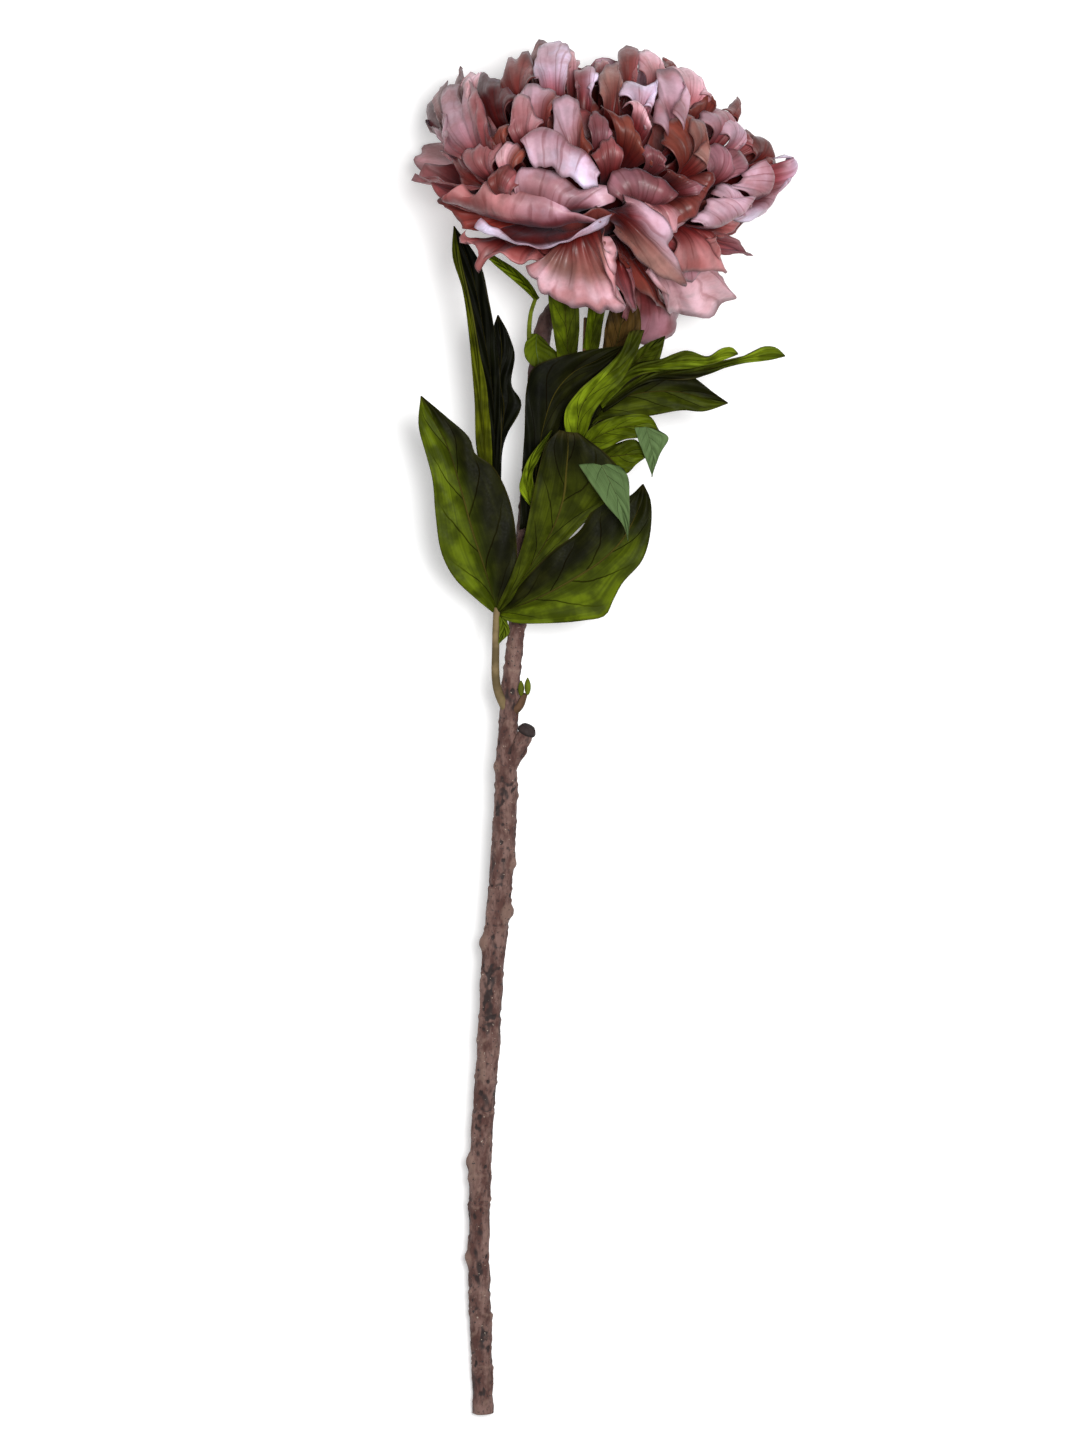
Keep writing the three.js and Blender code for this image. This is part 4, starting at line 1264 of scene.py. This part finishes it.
# %% The forked leaf
FORKED_STALKS = [
    ([(-46.3, 6, 39.6, 2.6), (-52.5, 20, 45, 2.2), (-53.2, 42, 50, 1.9), (-52.5, 61, 54, 1.9)], "tan"),
]
FORKED_BLADES = [
    (("light", "deep"),
     [(493, 612), (478, 600), (455, 578), (442, 553), (436, 515), (433, 480), (427, 456), (419, 425),
      (421, 396)],
     [(497, 611, 54), (485, 570, 59), (472, 530, 63), (461, 490, 65), (449, 450, 67), (434, 420, 69),
      (421, 396, 69)],
     [(501, 606), (515, 570), (515, 530), (507, 494), (492, 466), (475, 454), (469, 438), (446, 417),
      (421, 396)]),
    (("olive", "olive", "deep"),
     [(496, 610), (512, 574), (524, 540), (532, 502), (539, 470), (547, 444), (560, 430)],
     [(498, 611, 55), (530, 567, 62), (553, 528, 67), (563, 498, 72), (566, 470, 78), (568, 448, 82),
      (568, 432, 84)],
     [(500, 612), (545, 566), (582, 524), (612, 500), (626, 482), (608, 456), (578, 433)]),
    (("blue", "blue"),
     [(578, 465), (592, 486), (608, 508), (622, 524), (628, 541)],
     [(600, 463, 82), (611, 484, 88), (620, 504, 91), (626, 524, 90), (628, 541, 87)],
     [(622, 466), (629, 479), (630, 500), (630, 522), (628, 541)], {"wave": 0.3}),
    (("deep", "light", "deep"),
     [(501, 610), (528, 577), (556, 549), (579, 532), (598, 505), (616, 500), (630, 496), (643, 484)],
     [(500, 613, 54), (540, 597, 62), (580, 575, 67), (604, 559, 70), (624, 538, 72), (638, 510, 73),
      (643, 484, 73)],
     [(500, 616), (512, 622), (545, 623), (583, 620), (605, 615), (613, 600), (622, 583), (642, 560),
      (650, 532), (650, 500), (643, 484)], {"wave": 1.4}),
    (("young", "young"),
     [(498, 616), (499, 632), (498, 645)],
     [(501, 615, 54), (504, 630, 52), (498, 645, 51)],
     [(507, 620), (510, 632), (498, 645)], {"wave": 0.2}),
]
make_leaf("leaf_forked", FORKED_STALKS, FORKED_BLADES)

# %% [markdown]
# ## The left leaf
# Two narrow blades stand up along the stem, almost edge on; their near-black tone is partly
# painted shade. A thin yellowish blade beside the dark one shows the edge of the fold between
# them, partly as a painted highlight where it catches the light.

# %% The left leaf
LEFT_STALKS = [
    ([(-43, 62, 44.7, 2.2), (-48, 78, 47, 1.8), (-51, 96, 50, 1.6)], "maroon"),
]
LEFT_BLADES = [
    (("mustard", "mustard"),
     [(487, 490), (477, 450), (475, 397), (470, 341), (463, 290), (453, 256), (454, 226)],
     [(490, 490, 52), (484, 450, 59), (480, 397, 66), (475, 347, 72), (467, 297, 78), (457, 260, 82),
      (454, 226, 84)],
     [(493, 488), (491, 440), (486, 386), (479, 352), (470, 303), (461, 262), (454, 226)], {"wave": 0.4}),
    (("dark", "dark"),
     [(492, 490), (489, 438), (484, 384), (477, 350), (469, 303), (460, 262), (454, 226)],
     [(494, 490, 50), (495, 440, 56), (492, 386, 62), (486, 347, 68), (478, 300, 74), (469, 262, 79),
      (454, 226, 84)],
     [(498, 488), (501, 438), (500, 386), (496, 342), (488, 300), (479, 262), (454, 226)],
      {"raised": 3, "wave": 2}),
    (("dark", "dark"),
     [(494, 490), (492, 450), (491, 410), (490, 375), (490, 345), (493, 330), (498, 315)],
     [(497, 490, 49), (500, 450, 52), (504, 408, 55), (500, 378, 57), (502, 350, 59), (500, 332, 60),
      (498, 315, 62)],
     [(500, 488), (503, 443), (521, 404), (511, 385), (514, 354), (508, 334), (498, 315)],
      {"raised": 1, "wave": 2}),
]
make_leaf("leaf_left", LEFT_STALKS, LEFT_BLADES)

# %% [markdown]
# ## The right leaf
# This compound leaf fills the place between the stem and the bloom with broad, narrow and
# twisted leaflets. The dark ones lie lowest and close the gaps, and their near-black tone is
# partly painted shade. The light ones stand in front of them.

# %% The right leaf
RIGHT_STALKS = [
    ([(-39.6, 106, 49, 2.2), (-26.6, 120.6, 59, 1.8), (-12.5, 134.8, 65, 1.7)], "tan"),
    ([(-12.5, 134.8, 65, 1.7), (-10.5, 150, 60, 1.3), (-9, 172, 64, 1.2), (-8, 205, 84, 0.9)], "maroon"),
]
RIGHT_BLADES = [
    (("dark", "deep", "deep"),
     [(520, 530), (522, 480), (525, 430), (527, 388), (534, 368), (560, 357), (592, 350), (624, 346)],
     [(530, 526, 57), (536, 470, 61), (544, 424, 66), (556, 392, 70), (574, 372, 73), (598, 360, 76),
      (624, 346, 78)],
     [(541, 520), (551, 452), (564, 412), (578, 392), (592, 376), (608, 362), (624, 346)]),
    (("dark", "deep"),
     [(548, 500), (540, 460), (548, 420), (565, 385), (600, 362), (642, 350)],
     [(560, 500, 56), (565, 460, 58), (578, 425, 61), (600, 395, 64), (622, 372, 68), (642, 350, 70)],
     [(575, 490), (592, 460), (608, 435), (622, 410), (640, 382), (642, 350)]),
    (("young", "light"),
     [(532, 508), (520, 490), (523, 474), (531, 456), (552, 430)],
     [(532, 508, 62), (527, 490, 66), (528, 474, 69), (534, 456, 72), (552, 430, 74)],
     [(533, 508), (535, 492), (532, 474), (539, 458), (552, 430)], {"wave": 0.4}),
    (("young", "light", "olive"),
     [(575, 456), (566, 432), (566, 410), (578, 393), (594, 378), (610, 364), (622, 350), (630, 332)],
     [(577, 456, 72), (577, 430, 80), (581, 408, 86), (592, 390, 90), (606, 376, 93), (618, 364, 94),
      (628, 350, 95), (637, 330, 94)],
     [(579, 456), (587, 430), (596, 408), (608, 394), (620, 382), (628, 370), (636, 354), (644, 330)],
      {"wave": 0.8}),
    (("deep", "olive"),
     [(584, 446), (596, 416), (607, 395), (624, 382), (648, 373), (674, 368), (694, 378), (712, 392),
      (728, 403)],
     [(582, 448, 66), (600, 412, 70), (622, 398, 73), (648, 392, 75), (678, 392, 76), (704, 398, 77),
      (728, 403, 77)],
     [(582, 452), (596, 422), (625, 418), (652, 415), (682, 410), (704, 411), (728, 403)], {"wave": 1.6}),
    (("olive", "light", "young"),
     [(598, 402), (632, 366), (660, 360), (674, 355), (688, 351), (708, 357), (722, 349), (732, 348),
      (738, 354)],
     [(600, 404, 78), (632, 371, 83), (658, 365, 86), (684, 360, 88), (706, 361, 89), (724, 354, 90),
      (738, 354, 90)],
     [(602, 408), (634, 377), (664, 370), (694, 367), (714, 363), (728, 358), (738, 354)],
      {"wave": 2, "raised": 0.5}),
    (("olive", "deep", "young"),
     [(600, 404), (650, 373), (700, 366), (722, 362), (742, 357), (753, 352), (764, 347), (776, 348),
      (785, 356)],
     [(602, 408, 74), (650, 378, 78), (695, 372, 81), (722, 366, 83), (745, 359, 85), (768, 355, 86),
      (785, 356, 86)],
     [(604, 412), (650, 382), (690, 379), (708, 374), (726, 367), (745, 362), (768, 360), (785, 356)],
      {"wave": 2, "raised": 0.5}),
    (("light", "light"),
     [(577, 456), (588, 432), (606, 420), (630, 415), (650, 417), (659, 431)],
     [(577, 457, 74), (592, 441, 80), (608, 432, 84), (625, 427, 87), (643, 427, 88), (659, 431, 87)],
     [(578, 458), (594, 453), (610, 446), (624, 439), (640, 437), (659, 431)]),
    (("olive", "light", "light"),
     [(575, 460), (594, 452), (614, 445), (634, 440), (642, 446), (646, 455)],
     [(575, 463, 68), (594, 460, 74), (610, 457, 79), (625, 455, 82), (637, 454, 83), (646, 456, 84)],
     [(576, 467), (596, 470), (614, 472), (627, 473), (636, 464), (646, 457)]),
    (("blue", "blue"),
     [(634, 428), (638, 441), (644, 456), (652, 477)],
     [(646, 427, 89), (650, 442, 90), (653, 457, 88), (652, 477, 84)],
     [(660, 431), (669, 438), (661, 453), (652, 477)], {"wave": 0.3}),
    (("light", "olive"),
     [(562, 380), (557, 352), (553, 325), (549, 300), (549, 280), (556, 262)],
     [(568, 380, 60), (568, 352, 74), (566, 325, 86), (564, 300, 95), (561, 280, 97), (558, 262, 98)],
     [(576, 378), (577, 350), (579, 325), (577, 300), (570, 280), (560, 262)]),
    (("light", "olive"),
     [(580, 380), (583, 350), (587, 325), (590, 300), (593, 280), (598, 264)],
     [(584, 380, 60), (590, 350, 74), (594, 325, 86), (598, 300, 94), (600, 280, 96), (600, 264, 97)],
     [(590, 378), (598, 350), (602, 325), (606, 300), (606, 280), (602, 264)]),
    (("bronze", "bronze"),
     [(596, 372), (603, 348), (606, 325), (612, 305), (620, 290)],
     [(602, 374, 62), (614, 350, 70), (620, 328, 79), (622, 308, 81), (622, 290, 82)],
     [(610, 374), (628, 352), (640, 332), (638, 308), (624, 290)]),
    (("olive", "olive"),
     [(622, 372), (634, 354), (646, 345), (665, 336)],
     [(626, 376, 70), (640, 358, 74), (653, 346, 77), (665, 336, 78)],
     [(640, 380), (656, 366), (662, 350), (665, 336)], {"wave": 0.4}),
]
make_leaf("leaf_right", RIGHT_STALKS, RIGHT_BLADES)

# %% [markdown]
# ## The top leaf
# Close under the bloom grow one small narrow blade and one curled, yellow-green one, which
# are the youngest.

# %% The top leaf
TOP_STALKS = [
    ([(-33.6, 186, 56.4, 1.6), (-36, 194, 62, 1.3), (-35.5, 208, 67, 1.1), (-33, 216, 70, 1.0)], "young"),
]
TOP_BLADES = [
    (("young", "light"),
     [(535, 300), (522, 287), (504, 272), (489, 259)],
     [(537, 300, 70), (525, 284, 74), (507, 269, 78), (491, 257, 80)],
     [(539, 298), (528, 281), (510, 266), (494, 256)], {"wave": 0.4}),
    (("young", "light", "olive"),
     [(531, 334), (524, 346), (525, 358), (532, 366), (540, 369)],
     [(537, 334, 62), (536, 345, 66), (537, 355, 68), (539, 363, 68), (540, 370, 66)],
     [(543, 338), (551, 347), (560, 356), (550, 363), (542, 370)], {"wave": 0.8}),
]
make_leaf("leaf_top", TOP_STALKS, TOP_BLADES)

# %% [markdown]
# ## The side shoot
# Beside the pruned stub a short shoot carries two green buds. A bud could be spun from a
# profile, but a ball drawn out to a point does it too, so each is a sphere with its upper
# half pulled narrow.

# %% The side shoot and its buds
SHOOT = [(-45.8, 7, 39.7, 2.3), (-41, 11, 43.5, 2.0), (-38.6, 17, 46.5, 1.7)]
BUDS = [((-37.0, 21, 48), 9, 1.7), ((-40.3, 20, 47.5), 8, 1.6)]
BUD_POINT = 0.55


def make_shoot():
    bm = start_piece()
    add_limb(bm, SHOOT, STALK_SIDES, 20, GREENS["twig"])
    layer = bm.verts.layers.float_color["tone"]
    for place, length, radius in BUDS:
        ball = bmesh.ops.create_uvsphere(bm, u_segments=18, v_segments=14, radius=1.0)["verts"]
        for v in ball:
            narrow = 1 - BUD_POINT * max(0.0, v.co.z) ** 2
            spot = Vector((v.co.x * narrow * radius, v.co.z * length / 2, v.co.y * narrow * radius))
            v.co = (spot + Vector(place)) * MM
            v[layer] = GREENS["young"]
    bmesh.ops.recalc_face_normals(bm, faces=bm.faces[:])
    return end_piece(bm, "shoot_and_buds", [LEAF_ABOVE], ["side_shoot"])


make_shoot()

# %% [markdown]
# ## Floor, light and camera
# The flower lies on a plain pale floor, and the camera looks straight down on it. A soft
# light above and a little to the right draws out the petals, and a weaker one fills in from
# the upper left. The photograph's background is pure white, so the floor glows a little,
# which keeps its shadows faint.

# %% The floor
FLOOR_SIZE = 6.0
FLOOR_GLOW = 0.25


def floor_finish():
    material, tree = fresh("floor")
    inputs = {"Base Color": (0.9, 0.9, 0.9, 1.0), "Roughness": 0.9,
              "Emission Color": (1.0, 1.0, 1.0, 1.0), "Emission Strength": FLOOR_GLOW}
    node(tree, "OutputMaterial", {0: node(tree, "BsdfPrincipled", inputs).outputs[0]})
    return material


def make_floor():
    bm = bmesh.new()
    bmesh.ops.create_grid(bm, x_segments=1, y_segments=1, size=FLOOR_SIZE / 2)
    mesh = bpy.data.meshes.new("floor")
    bm.to_mesh(mesh)
    bm.free()
    mesh.materials.append(floor_finish())
    floor = bpy.data.objects.new("floor", mesh)
    bpy.context.scene.collection.objects.link(floor)
    print("floor:", FLOOR_SIZE, "m square")


make_floor()


# %% Lights, sky and camera
CAMERA_PLACE = (-0.0292, 0.0018, 2.5)
LENS, SENSOR = 120.0, 36.0
LIT_PLACE = Vector((0, 0.2, 0.05))
SOFTBOXES = [((0.3, 0.1, 2.2), 0.6, 48), ((-0.9, 0.7, 1.7), 0.5, 7)]
SKY_STRENGTH = 0.2


def add_light(place, size, power):
    lamp = bpy.data.lights.new("softbox", "AREA")
    lamp.size, lamp.energy = size, power
    holder = bpy.data.objects.new("softbox", lamp)
    holder.location = place
    holder.rotation_euler = (LIT_PLACE - holder.location).to_track_quat("-Z", "Y").to_euler()
    bpy.context.scene.collection.objects.link(holder)


def make_world(strength):
    world = bpy.data.worlds.new("studio")
    world.use_nodes = True
    sky = world.node_tree.nodes["Background"].inputs
    sky[0].default_value = (1.0, 1.0, 1.0, 1.0)
    sky[1].default_value = strength
    bpy.context.scene.world = world


def make_camera():
    lens = bpy.data.cameras.new("camera")
    lens.lens, lens.sensor_width = LENS, SENSOR
    camera = bpy.data.objects.new("camera", lens)
    camera.location = CAMERA_PLACE
    bpy.context.scene.collection.objects.link(camera)
    bpy.context.scene.camera = camera


for place, size, power in SOFTBOXES:
    add_light(place, size, power)
make_world(SKY_STRENGTH)
make_camera()
bpy.context.scene.view_settings.view_transform = "Standard"
print(len(SOFTBOXES), "lights, and a camera", CAMERA_PLACE[2], "m up")
